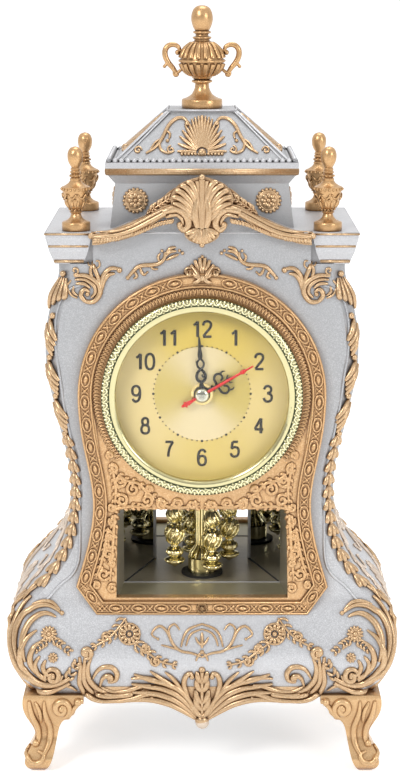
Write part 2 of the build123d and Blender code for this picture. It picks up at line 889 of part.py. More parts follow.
# Quartz movement, behind the dial; depths are counted from its front face
movement_half = 28.0
movement_depth = 17.4
movement_wall = 1.2
movement_front_y = dial_back_y
movement_back_y = movement_front_y + movement_depth
pivot_depth = 0.7
wheel_thickness = 0.7
tooth_gap = 0.1
tooth_space_share = 0.9  # of the pitch, how deep the spaces are cut
arbor_radius = 0.4

# Gear train: teeth, and the distance of each arbor from the centre
second_teeth = 60
second_pinion_teeth = 8
third_teeth = 60
third_pinion_teeth = 8
minute_teeth = 64
cannon_teeth = 12
motion_teeth = 36
motion_pinion_teeth = 10
hour_teeth = 40
idler_teeth = 50
idler_pinion_teeth = 10
rotor_pinion_teeth = 10
third_distance = 7.6
motion_distance = 8.0
idler_distance = 8.0
rotor_distance = 6.0


def pitch_radius(own_teeth, other_teeth, distance):
    """pitch radius of a wheel that meshes with another at a distance between arbors"""
    return distance * own_teeth / (own_teeth + other_teeth)


second_pinion_radius = pitch_radius(second_pinion_teeth, third_teeth, third_distance)
third_radius = pitch_radius(third_teeth, second_pinion_teeth, third_distance)
third_pinion_radius = pitch_radius(third_pinion_teeth, minute_teeth, third_distance)
minute_radius = pitch_radius(minute_teeth, third_pinion_teeth, third_distance)
cannon_radius = pitch_radius(cannon_teeth, motion_teeth, motion_distance)
motion_radius = pitch_radius(motion_teeth, cannon_teeth, motion_distance)
motion_pinion_radius = pitch_radius(motion_pinion_teeth, hour_teeth, motion_distance)
hour_radius = pitch_radius(hour_teeth, motion_pinion_teeth, motion_distance)
second_radius = pitch_radius(second_teeth, idler_pinion_teeth, idler_distance)
idler_pinion_radius = pitch_radius(idler_pinion_teeth, second_teeth, idler_distance)
idler_radius = pitch_radius(idler_teeth, rotor_pinion_teeth, rotor_distance)
rotor_pinion_radius = pitch_radius(rotor_pinion_teeth, idler_teeth, rotor_distance)

# Layers of the train, from the front wall of the movement to its cover
layer_pitch = 1.6
layer_count = 6
layer_y = [movement_front_y + movement_wall + gap + layer_pitch * n for n in range(layer_count)]
third_place = (-third_distance, dial_z)
motion_place = (motion_distance, dial_z)
idler_place = (0, dial_z + idler_distance)
rotor_place = (0, dial_z + idler_distance + rotor_distance)
centre_place = (0, dial_z)
cover_inner_y = movement_back_y - movement_wall
front_wall_inner_y = movement_front_y + movement_wall


def wheel(place, y, radius, teeth, thickness):
    """toothed wheel standing upright, its front face at depth y"""
    outer = radius - tooth_gap / 2
    tooth = 2 * math.pi * radius / teeth
    with BuildPart() as form:
        with BuildSketch(front_plane(y + thickness)):
            with Locations(place):
                Circle(outer)
                with PolarLocations(outer, teeth):
                    Rectangle(tooth_space_share * tooth, tooth / 2, mode=Mode.SUBTRACT)
        extrude(amount=thickness)
    return form.part


battery_radius = 7.2
battery_length = 50.0
battery_z = dial_z - movement_half + movement_wall + battery_radius + seat_gap
battery_y = cover_inner_y - battery_radius - 2 * seat_gap
cell_slot_share = 1.6  # of the cell's radius, the opening behind it
knob_radius = 6.0
knob_height = 5.0
knob_shaft_radius = 0.8
knob_flutes = 24
knob_flute_radius = 0.43
coil_radius = 3.0
coil_length = 22.0
coil_inset = 1.0
coil_z = dial_z + movement_half - movement_wall - coil_radius - coil_inset
stator_thickness = 0.8
rotor_radius = 2.4
rotor_gap = 0.4

pivot_floor_y = front_wall_inner_y - pivot_depth
arbor_hole = arbor_radius + running_gap
knob_shaft_hole = knob_shaft_radius + running_gap
hour_pipe_hole = hour_pipe_radius + running_gap
minute_pipe_hole = minute_pipe_radius + running_gap

with BuildPart() as movement_case:
    with BuildSketch(front_plane(cover_inner_y)):
        with Locations((0, dial_z)):
            RectangleRounded(2 * movement_half, 2 * movement_half, movement_wall * 2)
    extrude(amount=cover_inner_y - movement_front_y)
    with BuildSketch(front_plane(cover_inner_y)):
        with Locations((0, dial_z)):
            Rectangle(2 * (movement_half - movement_wall), 2 * (movement_half - movement_wall))
    extrude(amount=cover_inner_y - front_wall_inner_y, mode=Mode.SUBTRACT)
    add(shaft(centre_place, movement_front_y, nut_front_y, bush_radius))
    add(shaft(centre_place, front_wall_inner_y, nut_front_y, hour_pipe_hole), mode=Mode.SUBTRACT)
    for place in (third_place, idler_place, rotor_place):
        add(shaft(place, front_wall_inner_y, pivot_floor_y, arbor_hole), mode=Mode.SUBTRACT)
    add(shaft(motion_place, front_wall_inner_y, pivot_floor_y, knob_shaft_hole), mode=Mode.SUBTRACT)
movement_case.part.label = "movement_case"
export_step(movement_case.part, "parts/movement_case.step")

with BuildPart() as movement_cover:
    with BuildSketch(front_plane(movement_back_y)):
        with Locations((0, dial_z)):
            RectangleRounded(2 * movement_half, 2 * movement_half, movement_wall * 2)
    extrude(amount=movement_wall)
    with BuildSketch(front_plane(movement_back_y)):
        with Locations((0, battery_z)):
            Rectangle(battery_length + 2 * seat_gap, cell_slot_share * battery_radius)
    extrude(amount=movement_wall, mode=Mode.SUBTRACT)
    for place in (centre_place, third_place, idler_place, rotor_place):
        add(shaft(place, cover_inner_y + pivot_depth, cover_inner_y, arbor_hole), mode=Mode.SUBTRACT)
    add(shaft(motion_place, movement_back_y, cover_inner_y, knob_shaft_hole), mode=Mode.SUBTRACT)
movement_cover.part.label = "movement_cover"
export_step(movement_cover.part, "parts/movement_cover.step")

pivot_front_y = pivot_floor_y + running_gap
pivot_back_y = cover_inner_y + pivot_depth - running_gap

with BuildPart() as hour_wheel:
    add(wheel(centre_place, layer_y[0], hour_radius, hour_teeth, wheel_thickness))
    hour_pipe_end_y = hour_hand_y - hand_thickness
    add(shaft(centre_place, layer_y[0], hour_pipe_end_y, hour_pipe_radius))
    add(
        shaft(centre_place, layer_y[0] + wheel_thickness, hour_pipe_end_y, minute_pipe_hole),
        mode=Mode.SUBTRACT,
    )
hour_wheel.part.label = "hour_wheel"
export_step(hour_wheel.part, "parts/hour_wheel.step")

with BuildPart() as minute_wheel:
    add(wheel(centre_place, layer_y[2], minute_radius, minute_teeth, wheel_thickness))
    add(wheel(centre_place, layer_y[1], cannon_radius, cannon_teeth, wheel_thickness))
    add(shaft(centre_place, layer_y[2], minute_hand_y - hand_thickness, minute_pipe_radius))
    add(
        shaft(
            centre_place,
            layer_y[2] + wheel_thickness,
            minute_hand_y - hand_thickness,
            second_arbor_radius + running_gap,
        ),
        mode=Mode.SUBTRACT,
    )
minute_wheel.part.label = "minute_wheel"
export_step(minute_wheel.part, "parts/minute_wheel.step")

with BuildPart() as second_wheel:
    add(wheel(centre_place, layer_y[4], second_radius, second_teeth, wheel_thickness))
    add(wheel(centre_place, layer_y[3], second_pinion_radius, second_pinion_teeth, wheel_thickness))
    add(shaft(centre_place, pivot_back_y, second_hand_y - hand_thickness, arbor_radius))
    add(shaft(centre_place, layer_y[4], second_hand_y - hand_thickness, second_arbor_radius))
second_wheel.part.label = "second_wheel"
export_step(second_wheel.part, "parts/second_wheel.step")

with BuildPart() as third_wheel:
    add(wheel(third_place, layer_y[3], third_radius, third_teeth, wheel_thickness))
    add(wheel(third_place, layer_y[2], third_pinion_radius, third_pinion_teeth, wheel_thickness))
    add(shaft(third_place, pivot_back_y, pivot_front_y, arbor_radius))
third_wheel.part.label = "third_wheel"
export_step(third_wheel.part, "parts/third_wheel.step")

with BuildPart() as motion_wheel:
    add(wheel(motion_place, layer_y[1], motion_radius, motion_teeth, wheel_thickness))
    add(wheel(motion_place, layer_y[0], motion_pinion_radius, motion_pinion_teeth, wheel_thickness))
    add(shaft(motion_place, movement_back_y + gap, pivot_front_y, knob_shaft_radius))
motion_wheel.part.label = "motion_wheel"
export_step(motion_wheel.part, "parts/motion_wheel.step")

with BuildPart() as set_knob:
    add(shaft(motion_place, movement_back_y + gap + knob_height, movement_back_y + gap, knob_radius))
    with BuildSketch(front_plane(movement_back_y + gap + knob_height)):
        with Locations(motion_place):
            with PolarLocations(knob_radius, knob_flutes):
                Circle(knob_flute_radius)
    extrude(amount=knob_height, mode=Mode.SUBTRACT)
set_knob.part.label = "set_knob"
export_step(set_knob.part, "parts/set_knob.step")

with BuildPart() as idler_wheel:
    add(wheel(idler_place, layer_y[5], idler_radius, idler_teeth, wheel_thickness))
    add(wheel(idler_place, layer_y[4], idler_pinion_radius, idler_pinion_teeth, wheel_thickness))
    add(shaft(idler_place, pivot_back_y, pivot_front_y, arbor_radius))
idler_wheel.part.label = "idler_wheel"
export_step(idler_wheel.part, "parts/idler_wheel.step")

with BuildPart() as rotor:
    add(wheel(rotor_place, layer_y[5], rotor_pinion_radius, rotor_pinion_teeth, wheel_thickness))
    add(shaft(rotor_place, layer_y[3] + layer_pitch, layer_y[3], rotor_radius))
    add(shaft(rotor_place, pivot_back_y, pivot_front_y, arbor_radius))
rotor.part.label = "rotor"
export_step(rotor.part, "parts/rotor.step")

with BuildPart() as motor_coil:
    coil_end = (-coil_length / 2, layer_y[3] + stator_thickness / 2, coil_z)
    with BuildSketch(Plane(origin=coil_end, z_dir=(1, 0, 0))):
        Circle(coil_radius)
    extrude(amount=coil_length)
    with BuildSketch(front_plane(layer_y[3] + stator_thickness)):
        with Locations((0, (coil_z + rotor_place[1]) / 2 - rotor_radius)):
            Rectangle(coil_length / 2, coil_z - rotor_place[1] + 2 * rotor_radius)
        with Locations(rotor_place):
            Circle(rotor_radius + rotor_gap, mode=Mode.SUBTRACT)
    extrude(amount=stator_thickness)
motor_coil.part.label = "motor_coil"
export_step(motor_coil.part, "parts/motor_coil.step")

board_thickness = 1.0
board_width = 12.0
board_height = 16.0
with BuildPart() as circuit_board:
    board_x = -movement_half + movement_wall + board_width / 2
    board_z = dial_z + movement_half - movement_wall - board_height / 2
    with BuildSketch(front_plane(layer_y[0] + board_thickness)):
        with Locations((board_x, board_z)):
            Rectangle(board_width, board_height)
    extrude(amount=board_thickness)
    with BuildSketch(front_plane(layer_y[0] + board_thickness + knob_shaft_radius)):
        with Locations((board_x, board_z)):
            Rectangle(board_width / 3, board_height / 2)
    extrude(amount=knob_shaft_radius)
    with BuildSketch(front_plane(layer_y[0])):
        with Locations((board_x, board_z)):
            Rectangle(board_width / 4, board_height / 4)
    extrude(amount=layer_y[0] - front_wall_inner_y)
circuit_board.part.label = "circuit_board"
export_step(circuit_board.part, "parts/circuit_board.step")


def cell(length, radius, centre):
    """round cell lying along X, with its small terminal at the right"""
    terminal = radius / 6
    left = Plane(origin=(centre[0] - length / 2, centre[1], centre[2]), z_dir=(1, 0, 0))
    with BuildPart() as form:
        with BuildSketch(left):
            Circle(radius)
        extrude(amount=length - terminal)
        with BuildSketch(left.offset(length - terminal)):
            Circle(radius / 3)
        extrude(amount=terminal)
    return form.part


contact_thickness = 0.5
with BuildPart() as movement_cell:
    add(cell(battery_length, battery_radius, (0, battery_y, battery_z)))
movement_cell.part.label = "movement_cell"
export_step(movement_cell.part, "parts/movement_cell.step")

with BuildPart() as battery_contacts:
    for side in (-1, 1):
        x = side * (battery_length / 2 + contact_thickness / 2)
        with BuildSketch(front_plane(cover_inner_y - contact_thickness)):
            with Locations((x, battery_z)):
                Rectangle(contact_thickness, battery_radius)
        extrude(amount=cover_inner_y - front_wall_inner_y - contact_thickness)
battery_contacts.part.label = "battery_contacts"
export_step(battery_contacts.part, "parts/battery_contacts.step")

# Hands, at the time shown: angles clockwise from twelve
minute_hand_length = 29.9
hour_hand_length = 18.5
second_hand_length = 29.6
second_tail_length = 12.2
hand_width = 1.0
hour_loop_radius = 3.6
hour_loop_share = 0.60
minute_loop_radius = 2.6
minute_loop_share = 0.36
second_hand_width = 0.6
tail_bar_share = 0.8
tail_bar_length = 3.6
tail_bar_width = 0.8
minute_angle = -2.8
hour_angle = 60.0
second_angle = 59.6
hand_hub_radius = 3.4
cap_radius = 3.6
cap_height = 1.8
cap_round_share = 0.8


def hand(y, length, loop_radius, loop_share, angle, hub_bore):
    """flat hand pointing up, turned clockwise by angle, with a pierced loop on the way"""
    with BuildPart() as form:
        with BuildSketch(front_plane(y)):
            with Locations(Location((0, dial_z), -angle)):
                Circle(hand_hub_radius)
                with Locations((0, length / 2)):
                    Rectangle(hand_width, length)
                with Locations((0, loop_share * length)):
                    Circle(loop_radius)
                with Locations((0, loop_share * length)):
                    Circle(loop_radius - hand_width, mode=Mode.SUBTRACT)
                Circle(hub_bore, mode=Mode.SUBTRACT)
        extrude(amount=hand_thickness)
    return form.part


with BuildPart() as hour_hand:
    add(
        hand(
            hour_hand_y,
            hour_hand_length,
            hour_loop_radius,
            hour_loop_share,
            hour_angle,
            hour_pipe_radius,
        )
    )
hour_hand.part.label = "hour_hand"
export_step(hour_hand.part, "parts/hour_hand.step")

with BuildPart() as minute_hand:
    add(
        hand(
            minute_hand_y,
            minute_hand_length,
            minute_loop_radius,
            minute_loop_share,
            minute_angle,
            minute_pipe_radius,
        )
    )
minute_hand.part.label = "minute_hand"
export_step(minute_hand.part, "parts/minute_hand.step")

with BuildPart() as second_hand:
    with BuildSketch(front_plane(second_hand_y)):
        with Locations(Location((0, dial_z), -second_angle)):
            Circle(hand_hub_radius / 2)
            with Locations((0, (second_hand_length - second_tail_length) / 2)):
                Rectangle(second_hand_width, second_hand_length + second_tail_length)
            with Locations((0, -tail_bar_share * second_tail_length)):
                Rectangle(tail_bar_length, tail_bar_width)
            Circle(second_arbor_radius, mode=Mode.SUBTRACT)
    extrude(amount=hand_thickness)
second_hand.part.label = "second_hand"
export_step(second_hand.part, "parts/second_hand.step")

with BuildPart() as hand_cap:
    cap_back_y = second_hand_y - hand_thickness
    with BuildSketch(front_plane(cap_back_y)):
        with Locations(centre_place):
            Circle(cap_radius)
    extrude(amount=cap_height)
    fillet(hand_cap.edges().filter_by(GeomType.CIRCLE).sort_by(Axis.Y)[0], cap_height * cap_round_share)
hand_cap.part.label = "hand_cap"
export_step(hand_cap.part, "parts/hand_cap.step")

# Mirror recess: plan half widths at three depths
floor_z = 92.0
sheet_thickness = 2.0
mirror_front_y = -16.6
mirror_front_half_width = 41.0
mirror_back_y = 24.0
mirror_back_half_width = 25.7
ceiling_lift = 1.4
ceiling_z = window_top_z + ceiling_lift
tray_margin = 3.0
sill_half_width = window_foot_half_width
recess_front_y = dial_front_y


def recess_plan(margin):
    """plan of the recess behind the sill, moved outwards by margin"""
    with BuildSketch() as face:
        with BuildLine():
            Polyline(
                (mirror_front_half_width + margin, mirror_front_y),
                (mirror_back_half_width + margin, mirror_back_y + margin),
                (-mirror_back_half_width - margin, mirror_back_y + margin),
                (-mirror_front_half_width - margin, mirror_front_y),
                close=True,
            )
        make_face()
    return face.sketch_local


with BuildPart() as recess_floor:
    with BuildSketch(Plane.XY.offset(floor_z)):
        add(recess_plan(tray_margin))
    extrude(amount=-sheet_thickness)
recess_floor.part.label = "recess_floor"
export_step(recess_floor.part, "parts/recess_floor.step")

with BuildPart() as recess_sill:
    with BuildSketch(Plane.XY.offset(floor_z)):
        with Locations((0, mirror_front_y)):
            Rectangle(
                2 * (sill_half_width + sheet_thickness),
                mirror_front_y - recess_front_y,
                align=(Align.CENTER, Align.MAX),
            )
    extrude(amount=-sheet_thickness)
recess_sill.part.label = "recess_sill"
export_step(recess_sill.part, "parts/recess_sill.step")

with BuildPart() as recess_ceiling:
    with BuildSketch(Plane.XY.offset(ceiling_z)):
        add(recess_plan(tray_margin))
        with Locations((0, mirror_front_y)):
            Rectangle(
                2 * (sill_half_width + sheet_thickness),
                mirror_front_y - recess_front_y,
                align=(Align.CENTER, Align.MAX),
            )
    extrude(amount=sheet_thickness)
    with Locations(Plane.XY.offset(ceiling_z + sheet_thickness)):
        Hole(2 * hour_pipe_radius)
recess_ceiling.part.label = "recess_ceiling"
export_step(recess_ceiling.part, "parts/recess_ceiling.step")

with BuildPart() as recess_cheeks:
    for side in (-1, 1):
        with BuildSketch(Plane.XY.offset(floor_z)):
            with BuildLine():
                Polyline(
                    (side * sill_half_width, recess_front_y),
                    (side * (sill_half_width + sheet_thickness), recess_front_y),
                    (side * (mirror_front_half_width + tray_margin), mirror_front_y),
                    (side * mirror_front_half_width, mirror_front_y),
                    close=True,
                )
            make_face()
        extrude(amount=ceiling_z - floor_z)
recess_cheeks.part.label = "recess_cheeks"
export_step(recess_cheeks.part, "parts/recess_cheeks.step")

with BuildPart() as back_mirror:
    with BuildSketch(Plane.XY.offset(floor_z)):
        with Locations((0, mirror_back_y)):
            Rectangle(2 * mirror_back_half_width, sheet_thickness, align=(Align.CENTER, Align.MIN))
    extrude(amount=ceiling_z - floor_z)
back_mirror.part.label = "back_mirror"
export_step(back_mirror.part, "parts/back_mirror.step")

with BuildPart() as side_mirrors:
    for side in (-1, 1):
        with BuildSketch(Plane.XY.offset(floor_z)):
            with BuildLine():
                Polyline(
                    (side * mirror_front_half_width, mirror_front_y),
                    (side * (mirror_front_half_width + sheet_thickness), mirror_front_y),
                    (side * (mirror_back_half_width + sheet_thickness), mirror_back_y),
                    (side * mirror_back_half_width, mirror_back_y),
                    close=True,
                )
            make_face()
        extrude(amount=ceiling_z - floor_z)
side_mirrors.part.label = "side_mirrors"
export_step(side_mirrors.part, "parts/side_mirrors.step")

# Pendulum: column, carrier and four pendants, hung from the drive above the ceiling
pad_radius = 11.0
pad_thickness = 1.2
cup_radius = 7.5
cup_height = 8.0
cup_wall = 1.5
column_radius = 3.0
column_skirt_radius = 6.6
column_skirt_height = 5.0
guide_radius = 1.2
carrier_hub_radius = 6.0
carrier_thickness = 3.0
carrier_arm_width = 3.0
pendant_orbit = 15.5
pendant_radius = 5.4
pendant_height = 35.0
pendant_peg_radius = 0.8
pendant_peg_share = 0.9  # of the pendant's height, where its peg starts
spindle_radius = 1.5
pendant_base_z = 97.2
carrier_z = pendant_base_z + pendant_height
pendant_turn = 20.0
cup_top_z = floor_z + pad_thickness + cup_height
pendant_shares = [
    (0.30, 0.0),
    (0.50, 0.03),
    (0.95, 0.13),
    (1.0, 0.17),
    (0.60, 0.24),
    (0.45, 0.28),
    (0.80, 0.34),
    (0.85, 0.38),
    (0.50, 0.44),
    (0.70, 0.52),
    (0.90, 0.62),
    (0.80, 0.70),
    (0.50, 0.76),
    (0.75, 0.84),
    (0.70, 0.90),
    (0.40, 0.96),
    (0.0, 1.0),
]

with BuildPart() as pendulum_pad:
    with BuildSketch(Plane.XY.offset(floor_z)):
        Circle(pad_radius)
    extrude(amount=pad_thickness)
pendulum_pad.part.label = "pendulum_pad"
export_step(pendulum_pad.part, "parts/pendulum_pad.step")

with BuildPart() as pendulum_cup:
    with BuildSketch(Plane.XY.offset(floor_z + pad_thickness)):
        Circle(cup_radius)
    extrude(amount=cup_height)
    with BuildSketch(Plane.XY.offset(floor_z + pad_thickness + cup_wall)):
        Circle(cup_radius - cup_wall)
    extrude(amount=cup_height, mode=Mode.SUBTRACT)
    with BuildSketch(Plane.XY.offset(floor_z + pad_thickness + cup_wall)):
        Circle(2 * guide_radius)
    extrude(amount=cup_height / 2)
    with BuildSketch(Plane.XY.offset(floor_z + pad_thickness + cup_wall)):
        Circle(guide_radius + running_gap)
    extrude(amount=cup_height, mode=Mode.SUBTRACT)
pendulum_cup.part.label = "pendulum_cup"
export_step(pendulum_cup.part, "parts/pendulum_cup.step")

with BuildPart() as pendulum_column:
    with BuildSketch(Plane.XY.offset(cup_top_z + gap)):
        Circle(column_skirt_radius)
    with BuildSketch(Plane.XY.offset(cup_top_z + gap + column_skirt_height)):
        Circle(column_radius)
    loft()
    with BuildSketch(Plane.XY.offset(cup_top_z + gap + column_skirt_height)):
        Circle(column_radius)
    extrude(amount=carrier_z - cup_top_z - gap - column_skirt_height)
    with BuildSketch(Plane.XY.offset(cup_top_z + gap)):
        Circle(guide_radius)
    extrude(amount=-(cup_height - cup_wall))
pendulum_column.part.label = "pendulum_column"
export_step(pendulum_column.part, "parts/pendulum_column.step")

magnet_radius = 5.0
magnet_thickness = 3.0
drive_half_width = 28.0
drive_half_depth = 19.0
drive_height = 22.0
drive_wall = 1.5
drive_base_z = ceiling_z + sheet_thickness
magnet_z = drive_base_z + drive_wall + gap
with BuildPart() as pendulum_carrier:
    with BuildSketch(Plane.XY.offset(carrier_z)):
        Circle(carrier_hub_radius)
        with PolarLocations(pendant_orbit / 2, 4, start_angle=pendant_turn):
            Rectangle(pendant_orbit, carrier_arm_width)
        with PolarLocations(pendant_orbit, 4, start_angle=pendant_turn):
            Circle(carrier_arm_width)
        with PolarLocations(pendant_orbit, 4, start_angle=pendant_turn):
            Circle(pendant_peg_radius, mode=Mode.SUBTRACT)
    extrude(amount=carrier_thickness)
    with BuildSketch(Plane.XY.offset(carrier_z + carrier_thickness)):
        Circle(spindle_radius)
    extrude(amount=magnet_z - carrier_z - carrier_thickness)
pendulum_carrier.part.label = "pendulum_carrier"
export_step(pendulum_carrier.part, "parts/pendulum_carrier.step")

with BuildPart() as pendant_form:
    add(revolve_profile(pendant_radius, pendant_height, pendant_shares))
    with BuildSketch(Plane.XY.offset(pendant_peg_share * pendant_height)):
        Circle(pendant_peg_radius)
    extrude(amount=(1 - pendant_peg_share) * pendant_height + carrier_thickness)
with BuildPart() as pendants:
    for quarter in range(4):
        angle = math.radians(pendant_turn + 90 * quarter)
        add(
            pendant_form.part.moved(
                Location(
                    (
                        pendant_orbit * math.cos(angle),
                        pendant_orbit * math.sin(angle),
                        pendant_base_z,
                    )
                )
            )
        )
pendants.part.label = "pendants"
export_step(pendants.part, "parts/pendants.step")

with BuildPart() as drive_magnet:
    with BuildSketch(Plane.XY.offset(magnet_z)):
        Circle(magnet_radius)
    extrude(amount=magnet_thickness)
drive_magnet.part.label = "drive_magnet"
export_step(drive_magnet.part, "parts/drive_magnet.step")

with BuildPart() as drive_case:
    with BuildSketch(Plane.XY.offset(drive_base_z)):
        Rectangle(2 * drive_half_width, 2 * drive_half_depth)
    extrude(amount=drive_height)
    with BuildSketch(Plane.XY.offset(drive_base_z + drive_wall)):
        Rectangle(2 * (drive_half_width - drive_wall), 2 * (drive_half_depth - drive_wall))
    extrude(amount=drive_height, mode=Mode.SUBTRACT)
    with BuildSketch(Plane.XY.offset(drive_base_z)):
        Circle(spindle_radius + running_gap)
    extrude(amount=drive_wall, mode=Mode.SUBTRACT)
drive_case.part.label = "drive_case"
export_step(drive_case.part, "parts/drive_case.step")

drive_coil_radius = 6.0
drive_coil_height = 4.0
drive_coil_z = magnet_z + magnet_thickness + gap
drive_cell_z = drive_coil_z + drive_coil_height + battery_radius
with BuildPart() as drive_coil:
    with BuildSketch(Plane.XY.offset(drive_coil_z)):
        Circle(drive_coil_radius)
    extrude(amount=drive_coil_height)
    # strap that carries the coil from the walls of the drive's case
    with BuildSketch(Plane.XY.offset(drive_coil_z)):
        Rectangle(drive_coil_radius, 2 * (drive_half_depth - drive_wall))
    extrude(amount=drive_wall)
drive_coil.part.label = "drive_coil"
export_step(drive_coil.part, "parts/drive_coil.step")

with BuildPart() as drive_cell:
    add(cell(battery_length, battery_radius, (0, 0, drive_cell_z)))
drive_cell.part.label = "drive_cell"
export_step(drive_cell.part, "parts/drive_cell.step")

# Corner garlands: a swelling strip of leaves up each chamfered corner
garland_foot_share = 0.29
garland_top_share = 0.97
garland_leaves = 12
garland_slim = 2.0
garland_full = 3.6
with BuildPart() as garland_form:
    for step in range(2 * garland_leaves + 1):
        part_way = step / (2 * garland_leaves)
        height_share = garland_foot_share + part_way * (garland_top_share - garland_foot_share)
        radius = garland_slim if step % 2 == 0 else garland_full
        with BuildSketch(Plane.XY.offset(case_base + height_share * case_height)):
            with Locations((case_half_width_at(height_share) - case_chamfer / 2, front_y + case_chamfer / 2)):
                Circle(radius)
    loft(ruled=True)
    add(relief_seat_form, mode=Mode.SUBTRACT)
with BuildPart() as corner_garlands:
    add(garland_form.part)
    mirror(about=Plane.YZ)
    mirror(about=Plane.XZ)
corner_garlands.part.label = "corner_garlands"
export_step(corner_garlands.part, "parts/corner_garlands.step")

# Relief scrolls on the lower corners: a crescent that ends in a volute
scroll_outer_shares = [
    (0.82, 0.285),
    (0.93, 0.235),
    (1.04, 0.13),
    (0.99, 0.05),
    (0.86, 0.02),
    (0.74, 0.03),
]
scroll_inner_shares = [
    (0.76, 0.07),
    (0.86, 0.065),
    (0.93, 0.11),
    (0.91, 0.17),
    (0.84, 0.22),
    (0.79, 0.265),
]


def case_points(shares):
    """points in the front view, from shares of the case's half width and height"""
    return [(u * case_half_width, case_base + v * case_height) for u, v in shares]


volute_place_shares = (0.775, 0.065)
volute_radius = 6.0
scroll_depth = 22.0
with BuildPart() as scroll_form:
    with BuildSketch(front_plane(-case_half_depth + scroll_depth)):
        with BuildLine():
            outer = Spline(*case_points(scroll_outer_shares))
            inner = Spline(*case_points(scroll_inner_shares))
            Line(outer @ 1, inner @ 0)
            Line(inner @ 1, outer @ 0)
        make_face()
        with Locations(*case_points([volute_place_shares])):
            Circle(volute_radius)
    extrude(amount=scroll_depth + 2 * relief_height)
    add(relief_form, mode=Mode.INTERSECT)
    add(relief_seat_form, mode=Mode.SUBTRACT)
    add(garland_form.part, mode=Mode.SUBTRACT)
with BuildPart() as corner_scrolls:
    add(scroll_form.part)
    mirror(about=Plane.YZ)
    mirror(about=Plane.XZ)
corner_scrolls.part.label = "corner_scrolls"
export_step(corner_scrolls.part, "parts/corner_scrolls.step")

# Apron under the front: scalloped edge, centre palmette and its drop
apron_half_width = 60.4
apron_top_z = 50.0
apron_thickness = 3.0
apron_drop_z = 31.0
apron_ball_radius = 3.7
apron_shares = [
    (1.0, 0.0),
    (0.82, -0.32),
    (0.66, -0.42),
    (0.50, -0.26),
    (0.34, -0.10),
    (0.22, -0.06),
    (0.15, -0.30),
]
apron_back_y = -case_profile_shares[0][2] * case_half_depth
with BuildPart() as apron:
    with BuildSketch(front_plane(apron_back_y)):
        with BuildLine():
            apron_rise = apron_top_z - case_base
            edge = Spline(*[(u * apron_half_width, case_base + v * apron_rise) for u, v in apron_shares])
            Polyline(edge @ 1, (apron_ball_radius / 2, apron_drop_z), (0, apron_drop_z))
            Polyline((0, apron_top_z), (apron_half_width, apron_top_z), edge @ 0)
            mirror(about=Plane.YZ)
        make_face()
    extrude(amount=apron_thickness)
    with Locations((0, apron_back_y - apron_thickness / 2, apron_drop_z - apron_ball_radius / 2)):
        Sphere(apron_ball_radius)
    add(relief_seat_form, mode=Mode.SUBTRACT)
apron.part.label = "apron"
export_step(apron.part, "parts/apron.step")
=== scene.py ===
import math

import bpy
from mathutils import Matrix, Vector
from mathutils.bvhtree import BVHTree


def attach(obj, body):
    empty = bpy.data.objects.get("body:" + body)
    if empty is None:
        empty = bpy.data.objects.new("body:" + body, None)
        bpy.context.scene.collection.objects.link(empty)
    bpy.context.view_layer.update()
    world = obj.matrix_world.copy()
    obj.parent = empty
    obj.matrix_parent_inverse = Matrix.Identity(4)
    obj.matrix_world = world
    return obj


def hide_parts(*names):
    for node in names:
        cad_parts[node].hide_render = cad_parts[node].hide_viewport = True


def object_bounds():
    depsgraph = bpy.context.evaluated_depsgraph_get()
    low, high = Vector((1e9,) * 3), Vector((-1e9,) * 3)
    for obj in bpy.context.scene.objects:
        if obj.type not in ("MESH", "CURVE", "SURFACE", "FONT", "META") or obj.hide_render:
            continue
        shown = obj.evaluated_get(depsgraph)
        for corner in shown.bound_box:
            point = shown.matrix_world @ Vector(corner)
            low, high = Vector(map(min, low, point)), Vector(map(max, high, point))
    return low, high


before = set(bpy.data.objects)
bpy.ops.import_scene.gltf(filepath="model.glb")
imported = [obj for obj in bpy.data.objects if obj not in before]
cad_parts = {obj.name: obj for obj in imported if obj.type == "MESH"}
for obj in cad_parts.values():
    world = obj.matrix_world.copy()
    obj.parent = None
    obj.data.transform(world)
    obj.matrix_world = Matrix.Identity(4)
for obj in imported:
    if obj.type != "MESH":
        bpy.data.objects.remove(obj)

# Table clock, dressed. Metres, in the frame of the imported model: the dial faces -Y.
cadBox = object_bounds()
mm = 0.001
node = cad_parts
print("frame loaded:", len(node), "nodes")

# the camera that the photograph was taken with, as measured on it
photo = {
    "width": 400,
    "height": 771,
    "middleColumn": 202,
    "focalPixels": 1850,
    "tilt": math.radians(12.8),
    "distance": 0.9455,
    "eyeHeight": 0.4095,
}


# Measuring: from a pixel of the photograph to a place on the clock
def photoRay(column, row):
    across = (column - photo["middleColumn"]) / photo["focalPixels"]
    down = (row - photo["height"] / 2) / photo["focalPixels"]
    tilt = photo["tilt"]
    forward = Vector((0, math.cos(tilt), -math.sin(tilt)))
    upward = Vector((0, math.sin(tilt), math.cos(tilt)))
    origin = Vector((0, -photo["distance"], photo["eyeHeight"]))
    return origin, (forward + Vector((across, 0, 0)) - upward * down).normalized()


def onPlane(column, row, y):
    origin, direction = photoRay(column, row)
    return origin + direction * ((y - origin.y) / direction.y)


def treeOf(*names):
    corners, faces = [], []
    for name in names:
        mesh = node[name].data
        start = len(corners)
        corners += [corner.co.copy() for corner in mesh.vertices]
        faces += [[start + index for index in face.vertices] for face in mesh.polygons]
    return BVHTree.FromPolygons(corners, faces)


caseTree = treeOf("front_shell", "rear_shell")
frontPlaneY = -0.044


# the place that a pixel shows and the way the surface faces there; past its edge, the place
# nearest to it, or the upright plane at missY
def onClock(column, row, tree, missY=None):
    origin, direction = photoRay(column, row)
    place, normal, _, _ = tree.ray_cast(origin, direction)
    if place is None:
        if missY is not None:
            return onPlane(column, row, missY), Vector((0, -1, 0))
        place, normal, _, _ = tree.find_nearest(onPlane(column, row, frontPlaneY))
    if normal.dot(direction) > 0:
        normal = -normal
    return place, normal


